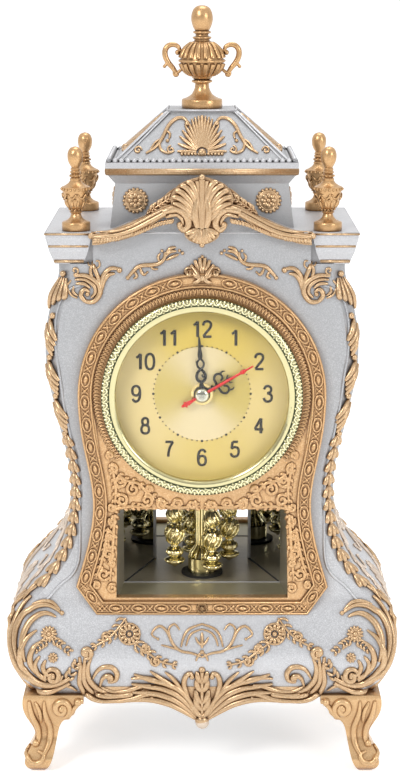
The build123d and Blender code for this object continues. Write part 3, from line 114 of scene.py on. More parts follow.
# Lines and strokes
def smoothLine(points, steps, closed=False):
    line = []
    count = len(points)
    for index in range(count if closed else count - 1):
        if closed:
            before, start, end, after = (points[(index + k) % count] for k in (-1, 0, 1, 2))
        else:
            before = points[max(index - 1, 0)]
            start, end = points[index], points[index + 1]
            after = points[min(index + 2, count - 1)]
        linear = end - before
        square = before * 2 - start * 5 + end * 4 - after
        cube = start * 3 - before - end * 3 + after
        for step in range(steps):
            t = step / steps
            line.append((start * 2 + linear * t + square * t**2 + cube * t**3) / 2)
    if not closed:
        line.append(points[-1])
    return line


# places, the radius at start, middle and end in millimetres or one for all, and whether it is closed
def stroke(places, radii, closed=False):
    return places, radii if isinstance(radii, tuple) else (radii,) * 3, closed


def swell(start, middle, end, share):
    ends = start * (1 - share) * (1 - 2 * share) + end * share * (2 * share - 1)
    return ends + 4 * middle * share * (1 - share)


def deselect():
    bpy.ops.object.select_all(action="DESELECT")


# all strokes of a piece as one mesh of round tubes
def tubes(name, strokes, roundness=2):
    deselect()
    bpy.ops.curve.primitive_bezier_curve_add()
    line = bpy.context.object
    line.name = name
    line.matrix_world = Matrix.Identity(4)
    curve = line.data
    curve.splines.clear()
    curve.dimensions = "3D"
    curve.bevel_depth = mm
    curve.bevel_resolution = roundness
    curve.use_fill_caps = True
    for places, radii, closed in strokes:
        spline = curve.splines.new("POLY")
        spline.points.add(len(places) - 1)
        spline.use_cyclic_u = closed
        spline.points.foreach_set("co", [value for place in places for value in (*place, 1)])
        last = max(len(places) - 1, 1)
        thick = [max(swell(*radii, step / last), 0.05) for step in range(len(places))]
        spline.points.foreach_set("radius", thick)
    bpy.ops.object.convert(target="MESH")
    bpy.ops.object.shade_smooth()
    return bpy.context.object


# round balls as one mesh; each is (place, radius in millimetres)
def beads(name, places, segments=8):
    deselect()
    bpy.ops.mesh.primitive_uv_sphere_add(segments=segments, ring_count=segments // 2 + 1, radius=mm)
    first = bpy.context.object
    bpy.ops.object.shade_smooth()
    copies = []
    for place, radius in places:
        copy = first.copy()
        copy.data = first.data.copy()
        copy.data.transform(Matrix.Translation(place) @ Matrix.Scale(radius, 4))
        bpy.context.scene.collection.objects.link(copy)
        copies.append(copy)
    bpy.data.objects.remove(first)
    return joined(name, copies)


def joined(name, pieces):
    deselect()
    for piece in pieces:
        piece.select_set(True)
    bpy.context.view_layer.objects.active = pieces[0]
    if len(pieces) > 1:
        bpy.ops.object.join()
    piece = bpy.context.object
    piece.name = name
    return piece


def applyPlace(piece):
    deselect()
    piece.select_set(True)
    bpy.context.view_layer.objects.active = piece
    bpy.ops.object.transform_apply(location=True, rotation=True, scale=True)


def finishPiece(piece, look, body="case", slot=None, stands=()):
    piece.data.materials.clear()
    piece.data.materials.append(looks[look])
    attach(piece, body)
    slot = slot or slotOf.get(look)
    if stands:
        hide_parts(*stands)
    print(piece.name, len(piece.data.polygons), "faces")


middleOnly = [(1, 1)]
bothSides = [(1, 1), (-1, 1)]
allCorners = [(1, 1), (-1, 1), (1, -1), (-1, -1)]
boxMargin = 0.01


def copied(place, signs):
    return Vector((place.x * signs[0], place.y * signs[1], place.z))


# keeps a stroke of this radius, in millimetres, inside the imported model's box
def inBox(place, radius):
    room = (radius + boxMargin) * mm
    for axis in range(3):
        place[axis] = min(max(place[axis], cadBox[0][axis] + room), cadBox[1][axis] - room)
    return place


# a piece of solids, strokes and balls; strokes and balls are repeated over its copies
def cast(name, look, strokes, balls=(), copies=middleOnly, solids=(), roundness=2, segments=8, **said):
    lines, rounds = [], []
    for signs in copies:
        lines += [([copied(place, signs) for place in places], *rest) for places, *rest in strokes]
        rounds += [(copied(place, signs), radius) for place, radius in balls]
    pieces = [*solids, tubes(name, lines, roundness)]
    if rounds:
        pieces.append(beads(name + "_beads", rounds, segments))
    finishPiece(joined(name, pieces), look, **said)


# Drawings, in pixels on the left half of the photograph; each gives a list of lines
def spiral(column, row, reach, start, turns=1.6, hand=1):
    points = []
    count = int(turns * 9)
    for step in range(count + 1):
        share = step / count
        angle = math.radians(start) + hand * share * turns * 2 * math.pi
        radius = reach * (1 - 0.86 * share)
        points.append((column + radius * math.cos(angle), row - radius * math.sin(angle)))
    return [points]


def rotatePixel(vector, degrees):
    cosine, sine = math.cos(math.radians(degrees)), math.sin(math.radians(degrees))
    return Vector((vector.x * cosine - vector.y * sine, vector.x * sine + vector.y * cosine))


# leaves in pairs along a spine, each bent forward to its tip
def feather(spine, pairs, length, lean=58, taper=0.5, sides=(-1, 1)):
    line = smoothLine([Vector(point) for point in spine], 6)
    leaves = []
    for pair in range(pairs):
        share = (pair + 0.4) / pairs
        index = min(int(share * (len(line) - 1)), len(line) - 2)
        at = line[index]
        ahead = (line[-1] - line[0]).normalized() * 0.4 + (line[index + 1] - at).normalized()
        ahead.normalize()
        reach = length * (1 - (1 - taper) * share)
        for side in sides:
            out = rotatePixel(ahead, side * lean)
            tip = at + out * reach * 0.8 + ahead * reach * 0.45
            leaves.append([at, at + out * reach * 0.6, tip])
    return leaves


# ribs side by side, from the first line to the last
def sheaf(count, first, last):
    lines = []
    for points in (first, last):
        line = smoothLine([Vector(point) for point in points], 8)
        lines.append([line[round(step * (len(line) - 1) / 11)] for step in range(12)])
    return [[a.lerp(b, rib / (count - 1)) for a, b in zip(*lines)] for rib in range(count)]


def ringOf(column, row, reach, count):
    turns = [2 * math.pi * step / count for step in range(count)]
    return [(column + reach * math.cos(turn), row + reach * math.sin(turn)) for turn in turns]


def rosette(column, row, reach, petals, inner=0.3):
    inside, outside = ringOf(column, row, reach * inner, petals), ringOf(column, row, reach, petals)
    return [list(ends) for ends in zip(inside, outside)]


# straight ribs from one ellipse to another; each is (column, row, reach across, reach up)
def fan(near, far, angles):
    ribs = []
    for turn in [math.radians(angle) for angle in angles]:
        ribs.append([(x + a * math.cos(turn), y - b * math.sin(turn)) for x, y, a, b in (near, far)])
    return ribs


drawings = {"sheaves": sheaf, "spirals": spiral, "feathers": feather, "rosettes": rosette, "fans": fan}


def laid(points, made, steps=3, closed=False):
    lift = made.get("lift", 0) * mm
    places = []
    for pixel in smoothLine([Vector(point) for point in points], steps, closed):
        if "surface" in made:
            places.append(made["surface"](pixel, lift))
        elif "plane" in made:
            places.append(onPlane(*pixel, made["plane"]))
        else:
            place, normal = onClock(*pixel, made["tree"], made.get("missY"))
            places.append(place + normal * lift)
    return places


# a relief from its drawing: ribs are (radii, points), every other drawing starts with its radii,
# rings are (radius, ring) and balls (column, row, radius)
def makeRelief(name, made):
    ribs = list(made.get("ribs", []))
    for kind, draw in drawings.items():
        for radii, *drawing in made.get(kind, []):
            ribs += [(radii, points) for points in draw(*drawing)]
    strokes = [stroke(laid(points, made), radii) for radii, points in ribs]
    for radius, *ring in made.get("rings", []):
        strokes.append(stroke(laid(ringOf(*ring), made, 1, True), radius, True))
    balls = [(laid([(column, row)], made, 1)[0], radius) for column, row, radius in made["balls"]]
    if "turned" in made:
        strokes += [([made["turned"](place) for place in places], *rest) for places, *rest in strokes]
        balls += [(made["turned"](place), radius) for place, radius in balls]
    for places, radii, _ in strokes:
        places[:] = [inBox(place, max(radii)) for place in places]
    balls = [(inBox(place, radius), radius) for place, radius in balls]
    copies, look = made.get("copies", bothSides), made.get("look", "copperGold")
    roundness, stands = made.get("roundness", 2), made.get("stands", ())
    cast(name, look, strokes, balls, copies, roundness=roundness, stands=stands)


# a flat plate cut to a closed outline, and pushed back by its depth
def plate(name, places, depth):
    deselect()
    bpy.ops.mesh.primitive_circle_add(vertices=len(places), radius=mm, fill_type="NGON")
    piece = bpy.context.object
    piece.name = name
    for corner, place in zip(piece.data.vertices, places):
        corner.co = place
    bpy.ops.object.mode_set(mode="EDIT")
    bpy.ops.mesh.select_all(action="SELECT")
    bpy.ops.mesh.extrude_region_move(TRANSFORM_OT_translate={"value": (0, depth, 0)})
    bpy.ops.mesh.select_all(action="SELECT")
    bpy.ops.mesh.normals_make_consistent(inside=False)
    bpy.ops.object.mode_set(mode="OBJECT")
    return piece


# Looks: every material by its name, all procedural
looks = {}


# gives a socket its value, or the link that brings one
def feed(tree, socket, value):
    if isinstance(value, bpy.types.NodeSocket):
        tree.links.new(value, socket)
    else:
        socket.default_value = (*value, 1) if socket.type == "RGBA" else value


def newNode(tree, kind, inputs=(), **settings):
    made = tree.nodes.new("ShaderNode" + kind)
    for setting, value in settings.items():
        setattr(made, setting, value)
    for socket, value in dict(inputs).items():
        feed(tree, made.inputs[socket], value)
    return made


def newMaterial(name, colour, roughness, metallic=0.0, others=()):
    looks[name] = bpy.data.materials.new(name)
    looks[name].use_nodes = True
    tree = looks[name].node_tree
    shader = tree.nodes["Principled BSDF"]
    values = {"Base Color": colour, "Roughness": roughness, "Metallic": metallic, **dict(others)}
    for socket, value in values.items():
        feed(tree, shader.inputs[socket], value)
    return tree, shader


def newGroup(name, inputs, outputs):
    group = bpy.data.node_groups.new(name, "ShaderNodeTree")
    for socketName, value in inputs.items():
        kind = "NodeSocketFloat" if isinstance(value, float) else "NodeSocketColor"
        socket = group.interface.new_socket(socketName, in_out="INPUT", socket_type=kind)
        socket.default_value = value
    for socketName, kind in outputs.items():
        group.interface.new_socket(socketName, in_out="OUTPUT", socket_type="NodeSocket" + kind)
    return group, group.nodes.new("NodeGroupInput").outputs, group.nodes.new("NodeGroupOutput").inputs


def mathNode(tree, operation, first, second=0.0):
    return newNode(tree, "Math", {0: first, 1: second}, operation=operation).outputs[0]


def mixNode(tree, factor, first, second):
    return newNode(tree, "Mix", {0: factor, 6: first, 7: second}, data_type="RGBA").outputs[2]


def noiseNode(tree, vector, scale, detail=2.0):
    return newNode(tree, "TexNoise", {"Vector": vector, "Scale": scale, "Detail": detail}).outputs["Fac"]


def rampNode(tree, factor, low, high):
    inputs = {"Value": factor, "From Min": low, "From Max": high}
    return newNode(tree, "MapRange", inputs, interpolation_type="SMOOTHSTEP").outputs["Result"]


# a value that swings either way with the grain
def spreadNode(tree, value, grain, amount):
    swing = mathNode(tree, "MULTIPLY", mathNode(tree, "SUBTRACT", grain, 0.5), amount)
    return mathNode(tree, "ADD", value, swing)


def placeNode(tree, kind="Object"):
    return newNode(tree, "TexCoord").outputs[kind]


def splitNode(tree, vector):
    return newNode(tree, "SeparateXYZ", {0: vector}).outputs


# group: the mask of the painted shade, from ambient occlusion: how deep in a recess a point lies, 1 in the
# deepest
def makeRecessGroup():
    group, given, result = newGroup("paintedShadeMask", {"Reach": 0.002}, {"Mask": "Float"})
    occlusion = newNode(group, "AmbientOcclusion", {"Distance": given["Reach"]}, samples=6)
    opened = rampNode(group, occlusion.outputs["AO"], 0.35, 0.92)
    feed(group, result["Mask"], mathNode(group, "SUBTRACT", 1.0, opened))
    return group


paintTone = {
    "cloudScale": 22.0,
    "cloudShare": 0.22,
    "cloudTone": (0.25, 0.24, 0.24),
    "flakeRamp": (0.42, 0.68),
    "roughnessSpread": 0.25,
    "bump": (0.08, 0.0002),
}


# group: paint that varies a little in tone and roughness, with fine flakes in it
def makePaintGroup():
    inputs = {
        "Color": (0.5, 0.5, 0.5, 1),
        "Flake Color": (0.7, 0.7, 0.7, 1),
        "Flake Scale": 2600.0,
        "Flake Share": 0.5,
        "Roughness": 0.4,
    }
    outputs = {"Color": "Color", "Roughness": "Float", "Height": "Float"}
    group, given, result = newGroup("paintTone", inputs, outputs)
    place = placeNode(group)
    cloud = noiseNode(group, place, paintTone["cloudScale"], 4.0)
    flake = rampNode(group, noiseNode(group, place, given["Flake Scale"], 1.0), *paintTone["flakeRamp"])
    amount = mathNode(group, "MULTIPLY", flake, given["Flake Share"])
    toned = mixNode(group, amount, given["Color"], given["Flake Color"])
    clouded = mathNode(group, "MULTIPLY", cloud, paintTone["cloudShare"])
    feed(group, result["Color"], mixNode(group, clouded, toned, paintTone["cloudTone"]))
    spread = paintTone["roughnessSpread"]
    feed(group, result["Roughness"], spreadNode(group, given["Roughness"], cloud, spread))
    feed(group, result["Height"], flake)
    return group


paintedShadeGroup = makeRecessGroup()
paintGroup = makePaintGroup()


# painted shade: a tone with a darker one worked into the recesses by the occlusion mask
def recessed(tree, tone, dark, share, reach):
    deep = newNode(tree, "Group", {"Reach": reach}, node_tree=paintedShadeGroup)
    return mixNode(tree, mathNode(tree, "MULTIPLY", deep.outputs["Mask"], share), tone, dark)


def dress(tree, shader, tone, roughness, height, strength, distance):
    bump = newNode(tree, "Bump", {"Strength": strength, "Distance": distance, "Height": height})
    feed(tree, shader.inputs["Base Color"], tone)
    feed(tree, shader.inputs["Roughness"], roughness)
    feed(tree, shader.inputs["Normal"], bump.outputs["Normal"])


# paint: its own colour, its flakes' and the painted shade's in the recesses; roughness and metallic;
# the shares of flakes and of the painted shade, and the painted shade's reach into the recesses in metres
paints = {
    "silverPaint": [(0.52, 0.525, 0.54), (0.86, 0.87, 0.89), (0.24, 0.23, 0.23), 0.38, 0.4, 0.75, 0.6, 0.004],
    "paleSilver": [(0.54, 0.545, 0.56), (0.80, 0.80, 0.82), (0.36, 0.35, 0.35), 0.36, 0.3, 0.5, 0.6, 0.003],
    "copperGold": [(0.54, 0.33, 0.155), (0.88, 0.69, 0.45), (0.15, 0.06, 0.018)]
    + [0.26, 0.58, 0.6, 0.97, 0.0026],
    "warmGold": [(0.55, 0.31, 0.12), (0.84, 0.56, 0.28), (0.13, 0.055, 0.016), 0.28, 0.65, 0.5, 0.9, 0.0035],
    "frameGold": [(0.62, 0.35, 0.14), (0.92, 0.65, 0.36), (0.17, 0.072, 0.026)]
    + [0.27, 0.55, 0.6, 0.98, 0.0022],
    # the feet's gold is painted lighter than the same gold elsewhere: painted light for the lamps lighting
    # the feet less
    "feetGold": [(0.66, 0.40, 0.175), (0.96, 0.70, 0.40), (0.30, 0.14, 0.05), 0.27, 0.55, 0.5, 0.9, 0.0035],
    "pearlGold": [(0.74, 0.60, 0.47), (0.92, 0.82, 0.72), (0.35, 0.22, 0.14), 0.28, 0.4, 0.5, 0.7, 0.003],
}
# painted shade: the case's silver is darker above, for the light that falls less on its upper part; between
# these heights the darker tone comes in
paintedUpperShade = {"silverPaint": {"between": (0.085, 0.140), "share": 0.5, "colour": (0.28, 0.285, 0.29)}}


def paintedMaterial(name, colour, flake, recess, roughness, metallic, flakeShare, recessShadeShare, reach):
    tree, shader = newMaterial(name, colour, roughness, metallic)
    inputs = {"Color": colour, "Flake Color": flake, "Flake Share": flakeShare, "Roughness": roughness}
    paint = newNode(tree, "Group", inputs, node_tree=paintGroup)
    tone = paint.outputs["Color"]
    # painted shade by height on the case's silver
    if name in paintedUpperShade:
        upper = paintedUpperShade[name]
        height = rampNode(tree, splitNode(tree, placeNode(tree))["Z"], *upper["between"])
        tone = mixNode(tree, mathNode(tree, "MULTIPLY", height, upper["share"]), tone, upper["colour"])
    # painted shade: the recesses darkened towards the paint's shade colour
    tone = recessed(tree, tone, recess, recessShadeShare, reach)
    dress(tree, shader, tone, paint.outputs["Roughness"], paint.outputs["Height"], *paintTone["bump"])


for name, paint in paints.items():
    paintedMaterial(name, *paint)

# vacuum-metallised plastic: colour, roughness, waviness
metallised = {
    "bezelGold": [(0.60, 0.55, 0.31), 0.12, 0.1],
    "capSilver": [(0.78, 0.76, 0.64), 0.08, 0.05],
    "bezelPattern": [(0.76, 0.72, 0.45), 0.2, 0.1],
    # near black: painted shade, for the dark rings along the bezel pattern's edges
    "bezelPaintedShade": [(0.06, 0.07, 0.035), 0.3, 0.1],
    "pendulumGold": [(0.97, 0.85, 0.46), 0.09, 0.15],
}
# the lacquer's waves; the painted shade in recesses: its tone as a share of the colour, its share and reach
lacquer = {"waveScale": 260.0, "waveHeight": 0.0004, "dark": 0.28, "recessShadeShare": 0.75, "recessShadeReach": 0.002}


def darker(colour, share):
    return tuple(channel * share for channel in colour)


# bright, with the faint orange peel of the lacquer under it and painted shade in its recesses
def metallisedMaterial(name, colour, roughness, waviness):
    tree, shader = newMaterial(name, colour, roughness, 1.0)
    wave = noiseNode(tree, placeNode(tree), lacquer["waveScale"])
    dark = darker(colour, lacquer["dark"])
    tone = recessed(tree, colour, dark, lacquer["recessShadeShare"], lacquer["recessShadeReach"])
    rough = mathNode(tree, "ADD", mathNode(tree, "MULTIPLY", wave, 0.1), roughness)
    dress(tree, shader, tone, rough, wave, waviness, lacquer["waveHeight"])


for name, made in metallised.items():
    metallisedMaterial(name, *made)

# plain moulded or rolled stock: colour, roughness, metallic, the grain's stretch, scale and contrast
evenGrain = (1, 1, 1)
stock = {
    "handBlack": [(0.012, 0.011, 0.010), 0.35, 0.0, evenGrain, 900, 0.3],
    "handRed": [(0.52, 0.006, 0.004), 0.35, 0.0, evenGrain, 900, 0.15],
    "printBlack": [(0.02, 0.015, 0.012), 0.5, 0.0, evenGrain, 700, 0.3],
    "darkSheet": [(0.42, 0.37, 0.27), 0.34, 0.35, (1, 30, 1), 120, 0.3],
    "sillSheet": [(0.46, 0.42, 0.28), 0.34, 0.3, (1, 30, 1), 120, 0.25],
    "blackRubber": [(0.015, 0.015, 0.016), 0.6, 0.0, evenGrain, 500, 0.3],
    "blackPlastic": [(0.04, 0.04, 0.042), 0.45, 0.0, evenGrain, 400, 0.25],
    "wheelPlastic": [(0.80, 0.79, 0.72), 0.4, 0.0, evenGrain, 300, 0.12],
    "plainSteel": [(0.55, 0.55, 0.56), 0.3, 1.0, (1, 1, 25), 150, 0.2],
    "plainBrass": [(0.78, 0.60, 0.28), 0.28, 1.0, evenGrain, 300, 0.2],
    "copperWinding": [(0.60, 0.26, 0.10), 0.35, 0.8, (60, 1, 1), 60, 0.5],
    "boardGreen": [(0.03, 0.16, 0.06), 0.35, 0.0, evenGrain, 250, 0.4],
    "cellSleeve": [(0.03, 0.10, 0.28), 0.25, 0.0, (1, 20, 20), 60, 0.2],
    "mirrorSilver": [(0.88, 0.89, 0.90), 0.02, 1.0, evenGrain, 5, 0.03],
}
polished = ["mirrorSilver"]
stockBump = (0.1, 0.0001)


# grain stretched along an axis, seen in tone and, unless polished, in roughness and relief
def stockMaterial(name, colour, roughness, metallic, stretch, scale, contrast):
    tree, shader = newMaterial(name, colour, roughness, metallic)
    mapping = newNode(tree, "Mapping", {"Vector": placeNode(tree), "Scale": stretch})
    grain = noiseNode(tree, mapping.outputs["Vector"], scale, 3.0)
    tone = mixNode(tree, grain, colour, darker(colour, 1 - contrast))
    if name in polished:
        feed(tree, shader.inputs["Base Color"], tone)
    else:
        dress(tree, shader, tone, spreadNode(tree, roughness, grain, 0.3), grain, *stockBump)


for name, made in stock.items():
    stockMaterial(name, *made)


# clear lens: lets the light of the lamps straight through, so that the dial isn't dimmed
def makeLens():
    others = {"IOR": 1.22, "Transmission Weight": 1.0}
    tree, shader = newMaterial("clearLens", (0.99, 1.0, 0.99), 0.01, 0.0, others)
    shadow = newNode(tree, "LightPath").outputs["Is Shadow Ray"]
    through = newNode(tree, "BsdfTransparent").outputs[0]
    mix = newNode(tree, "MixShader", {0: shadow, 1: shader.outputs[0], 2: through})
    feed(tree, tree.nodes["Material Output"].inputs["Surface"], mix.outputs[0])


makeLens()

dial = {
    "centre": Vector((0, 0, 0.200)),
    "faceY": -0.0420,
    "numeralRadius": 0.0330,
    "figureHeight": 8.3,
    "figureWidth": 0.56,
    "figurePitch": 0.62,
    "figureStroke": 0.76,
    "ringRadius": 0.0244,
    "dotRadius": 0.40,
    "hourDotRadius": 0.66,
    "inkDepth": 0.06,
    # the dark and bright ends of the painted sheen on the gold and on the cream print
    "goldSheenTones": [(0.48, 0.345, 0.06), (0.54, 0.42, 0.19)],
    "creamSheenTones": [(0.42, 0.32, 0.085), (0.56, 0.46, 0.28)],
    "speckle": (0.5, 0.38, 0.12),
    "sheenShares": [(-0.42, -0.12), (0.32, -0.28)],
    "sheenTurn": 0.6,
    "sheenRamp": (-0.5, 0.45),
}


# printed dial: cream inside the ring and mustard gold outside it, with a painted sheen that turns round the
# middle, the other way inside the ring
def makeDialPrint():
    tree, shader = newMaterial("dialPrintAndSheen", (0.85, 0.72, 0.36), 0.34, 0.1)
    place = placeNode(tree)
    mapping = newNode(tree, "Mapping", {"Vector": place, "Location": (0, 0, -dial["centre"].z)})
    split = splitNode(tree, mapping.outputs["Vector"])
    angle = mathNode(tree, "ARCTAN2", split["Z"], split["X"])
    wave = mathNode(tree, "COSINE", mathNode(tree, "MULTIPLY", angle, 2.0))
    skew = mathNode(tree, "SINE", mathNode(tree, "ADD", angle, dial["sheenTurn"]))
    # painted sheen: lighter and darker by the angle round the middle
    sheens = []
    for waveShare, skewShare in dial["sheenShares"]:
        first = mathNode(tree, "MULTIPLY", wave, waveShare)
        sheens.append(mathNode(tree, "ADD", first, mathNode(tree, "MULTIPLY", skew, skewShare)))
    flat = newNode(tree, "CombineXYZ", {"X": split["X"], "Z": split["Z"]})
    length = newNode(tree, "VectorMath", {0: flat.outputs[0]}, operation="LENGTH").outputs["Value"]
    outside = rampNode(tree, length, dial["ringRadius"] - 0.0008, dial["ringRadius"] + 0.0002)
    sheen = newNode(tree, "Mix", {0: outside, 2: sheens[0], 3: sheens[1]}).outputs[0]
    sheen = rampNode(tree, sheen, *dial["sheenRamp"])
    gold, cream = mixNode(tree, sheen, *dial["goldSheenTones"]), mixNode(tree, sheen, *dial["creamSheenTones"])
    grain = noiseNode(tree, place, 1500.0, 1.0)
    printAndSheen = mixNode(tree, outside, cream, gold)
    speckled = mixNode(tree, mathNode(tree, "MULTIPLY", grain, 0.12), printAndSheen, dial["speckle"])
    feed(tree, shader.inputs["Base Color"], speckled)
    rough = mathNode(tree, "ADD", mathNode(tree, "MULTIPLY", grain, 0.1), 0.30)
    feed(tree, shader.inputs["Roughness"], rough)


makeDialPrint()
print("materials made")

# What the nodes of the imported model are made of
nodeLooks = {
    "silverPaint": ["front_shell", "rear_shell", "rear_door", "attic", "roof"],
    "paleSilver": ["top_platform", "corner_capitals", "cornice"],
    "frameGold": ["dial_frame"],
    "copperGold": ["pediment_moulding", "corner_garlands", "corner_scrolls", "crest_shell", "apron"],
    "warmGold": ["urn_finial", "urn_handles", "corner_finials"],
    "feetGold": ["feet"],
    "bezelGold": ["bezel", "hand_cap"],
    "pendulumGold": ["pendulum_cup", "pendulum_column", "pendulum_carrier", "pendants"],
    "clearLens": ["lens"],
    "dialPrintAndSheen": ["dial_plate"],
    "handBlack": ["hour_hand", "minute_hand"],
    "handRed": ["second_hand"],
    "darkSheet": ["recess_floor", "recess_cheeks"],
    "sillSheet": ["recess_sill"],
    "mirrorSilver": ["back_mirror", "side_mirrors"],
    "blackRubber": ["pendulum_pad"],
    "blackPlastic": ["bottom_plate", "recess_ceiling", "drive_case", "movement_case", "movement_cover"]
    + ["set_knob"],
    "wheelPlastic": ["hour_wheel", "minute_wheel", "second_wheel", "third_wheel", "motion_wheel"]
    + ["idler_wheel"],
    "plainSteel": ["hinge_pins", "case_screws", "foot_screws", "battery_contacts", "rotor", "drive_magnet"],
    "plainBrass": ["fixing_nut"],
    "copperWinding": ["motor_coil", "drive_coil"],
    "boardGreen": ["circuit_board"],
    "cellSleeve": ["movement_cell", "drive_cell"],
}
for look, names in nodeLooks.items():
    for name in names:
        node[name].data.materials.clear()
        node[name].data.materials.append(looks[look])

# the slot that a scene piece of each look belongs to
slotLooks = {
    "silver_shell": ["silverPaint", "paleSilver"],
    "copper_gold": ["copperGold", "warmGold", "frameGold", "feetGold", "pearlGold"],
    "metallised_gold": ["capSilver", "bezelPattern", "bezelPaintedShade", "pendulumGold"],
    "hand_black": ["printBlack"],
    "movement_plastic": ["blackPlastic"],
}
slotOf = {look: slot for slot, names in slotLooks.items() for look in names}
print("nodes dressed")

# Stage, camera and light; a lamp is (place, watts, size)
stage = {
    "floorSize": 70,
    "floorTones": [(0.905, 0.905, 0.905), (0.89, 0.89, 0.89)],
    "floorLift": 0.55,
    "roomTones": [(0.42, 0.42, 0.43), (0.98, 0.98, 0.99)],
    "roomFrontToBack": (-0.9, 0.4),
    "roomFloorToTop": (-0.1, 0.9),
    "roomStrength": 0.64,
    "roomLift": 0.38,
    "lampTarget": Vector((0, 0, 0.2)),
    "lamps": {
        "keyLamp": (Vector((-1.1, -1.5, 1.5)), 20.5, 0.6),
        "fillLamp": (Vector((1.3, -1.3, 0.8)), 10.0, 0.7),
        "topLamp": (Vector((0.1, 0.3, 1.8)), 10.5, 0.9),
    },
}


# 1 for what the camera sees, in a mirror and through the lens too
def seenShare(tree):
    rays = newNode(tree, "LightPath").outputs
    seen = mathNode(tree, "MAXIMUM", rays["Is Camera Ray"], rays["Is Glossy Ray"])
    return mathNode(tree, "MAXIMUM", seen, rays["Is Transmission Ray"])


# seen or mirrored, the floor is lifted to white, and the clock's shadow stays on it
def makeFloor():
    deselect()
    bpy.ops.mesh.primitive_plane_add(size=stage["floorSize"])
    floor = bpy.context.object
    floor.name = "floor"
    tree, shader = newMaterial("paleFloor", (0.90, 0.90, 0.90), 0.75, 0.0, {"Emission Color": (1, 1, 1)})
    tone = mixNode(tree, noiseNode(tree, placeNode(tree), 3.0), *stage["floorTones"])
    feed(tree, shader.inputs["Base Color"], tone)
    lifted = mathNode(tree, "MULTIPLY", seenShare(tree), stage["floorLift"])
    feed(tree, shader.inputs["Emission Strength"], lifted)
    floor.data.materials.append(looks["paleFloor"])


def makeCamera():
    camera = bpy.data.objects.new("camera", bpy.data.cameras.new("camera"))
    bpy.context.scene.collection.objects.link(camera)
    camera.data.sensor_width = 36
    camera.data.lens = 36 * photo["focalPixels"] / photo["height"]
    camera.data.shift_x = (photo["width"] / 2 - photo["middleColumn"]) / photo["height"]
    camera.location = (0, -photo["distance"], photo["eyeHeight"])
    camera.rotation_euler = (math.pi / 2 - photo["tilt"], 0, 0)
    camera.data.clip_start = 0.05
    camera.data.clip_end = 60
    bpy.context.scene.camera = camera


# seen or mirrored, the room is near white; it lights the clock a little less
def makeRoom():
    world = bpy.data.worlds.new("studio")
    world.use_nodes = True
    bpy.context.scene.world = world
    tree = world.node_tree
    split = splitNode(tree, placeNode(tree, "Generated"))
    behind = rampNode(tree, split["Y"], *stage["roomFrontToBack"])
    above = rampNode(tree, split["Z"], *stage["roomFloorToTop"])
    tone = mixNode(tree, mathNode(tree, "MAXIMUM", behind, above), *stage["roomTones"])
    lifted = mathNode(tree, "MULTIPLY", seenShare(tree), stage["roomLift"])
    room = tree.nodes["Background"].inputs
    feed(tree, room["Color"], tone)
    feed(tree, room["Strength"], mathNode(tree, "ADD", lifted, stage["roomStrength"]))


def makeLamps():
    for name, (place, power, size) in stage["lamps"].items():
        light = bpy.data.lights.new(name, "AREA")
        light.energy = power
        light.size = size
        lamp = bpy.data.objects.new(name, light)
        bpy.context.scene.collection.objects.link(lamp)
        lamp.location = place
        lamp.rotation_euler = (stage["lampTarget"] - place).to_track_quat("-Z", "Y").to_euler()


makeFloor()
makeCamera()
makeRoom()
makeLamps()
bpy.context.scene.view_settings.view_transform = "Standard"
print("stage set")


# Dial: numbers and the ring of minute dots, printed on the plate. A figure's strokes are given in
# hundredths of its height, 0 at the foot; a closed one ends where it starts.
figures = {
    "0": [[(53, 50), (47, 85), (28, 97), (9, 85), (3, 50), (9, 15), (28, 3), (47, 15), (53, 50)]],
    "1": [[(8, 74), (22, 83), (33, 98)], [(33, 98), (33, 2)]],
    "2": [
        [(4, 72), (10, 91), (28, 98), (46, 91), (51, 74), (42, 53), (22, 29), (5, 5)],
        [(4, 4), (54, 4)],
    ],
    "3": [
        [(5, 77), (13, 93), (27, 98), (43, 91), (48, 76), (41, 60), (24, 54)],
        [(24, 54), (44, 47), (52, 28), (44, 8), (27, 2), (11, 8), (4, 25)],
    ],
    "4": [[(41, 97), (41, 2)], [(40, 96), (4, 30)], [(3, 28), (56, 28)]],
    "5": [
        [(48, 95), (15, 95)],
        [(15, 95), (9, 52)],
        [(9, 51), (19, 60), (32, 62), (47, 54), (52, 33), (45, 10), (28, 2), (12, 8), (4, 24)],
    ],
    "6": [
        [(49, 80), (42, 93), (29, 98), (13, 88), (5, 62), (5, 34)],
        [(5, 32), (13, 53), (28, 60), (45, 53), (51, 31), (45, 9), (28, 2), (12, 9), (5, 32)],
    ],
    "7": [[(4, 95), (52, 95)], [(51, 94), (35, 68), (25, 36), (21, 2)]],
    "8": [
        [(46, 76), (41, 92), (28, 98), (15, 92), (10, 76), (15, 60), (28, 54), (41, 60), (46, 76)],
        [(51, 28), (45, 48), (28, 54), (11, 48), (5, 28), (11, 8), (28, 2), (45, 8), (51, 28)],
    ],
}
figures["9"] = [[(56 - x, 100 - z) for x, z in points] for points in figures["6"]]


# flattened pieces are laid on an upright plane of the dial
def onDial(y, depth, turn=0.0):
    place = Matrix.Translation(dial["centre"] + Vector((0, y, 0)))
    return place @ Matrix.Rotation(math.radians(turn), 4, "Y") @ Matrix.Diagonal((1, depth, 1, 1))


def clockwise(degrees):
    return Vector((math.sin(math.radians(degrees)), 0, math.cos(math.radians(degrees))))


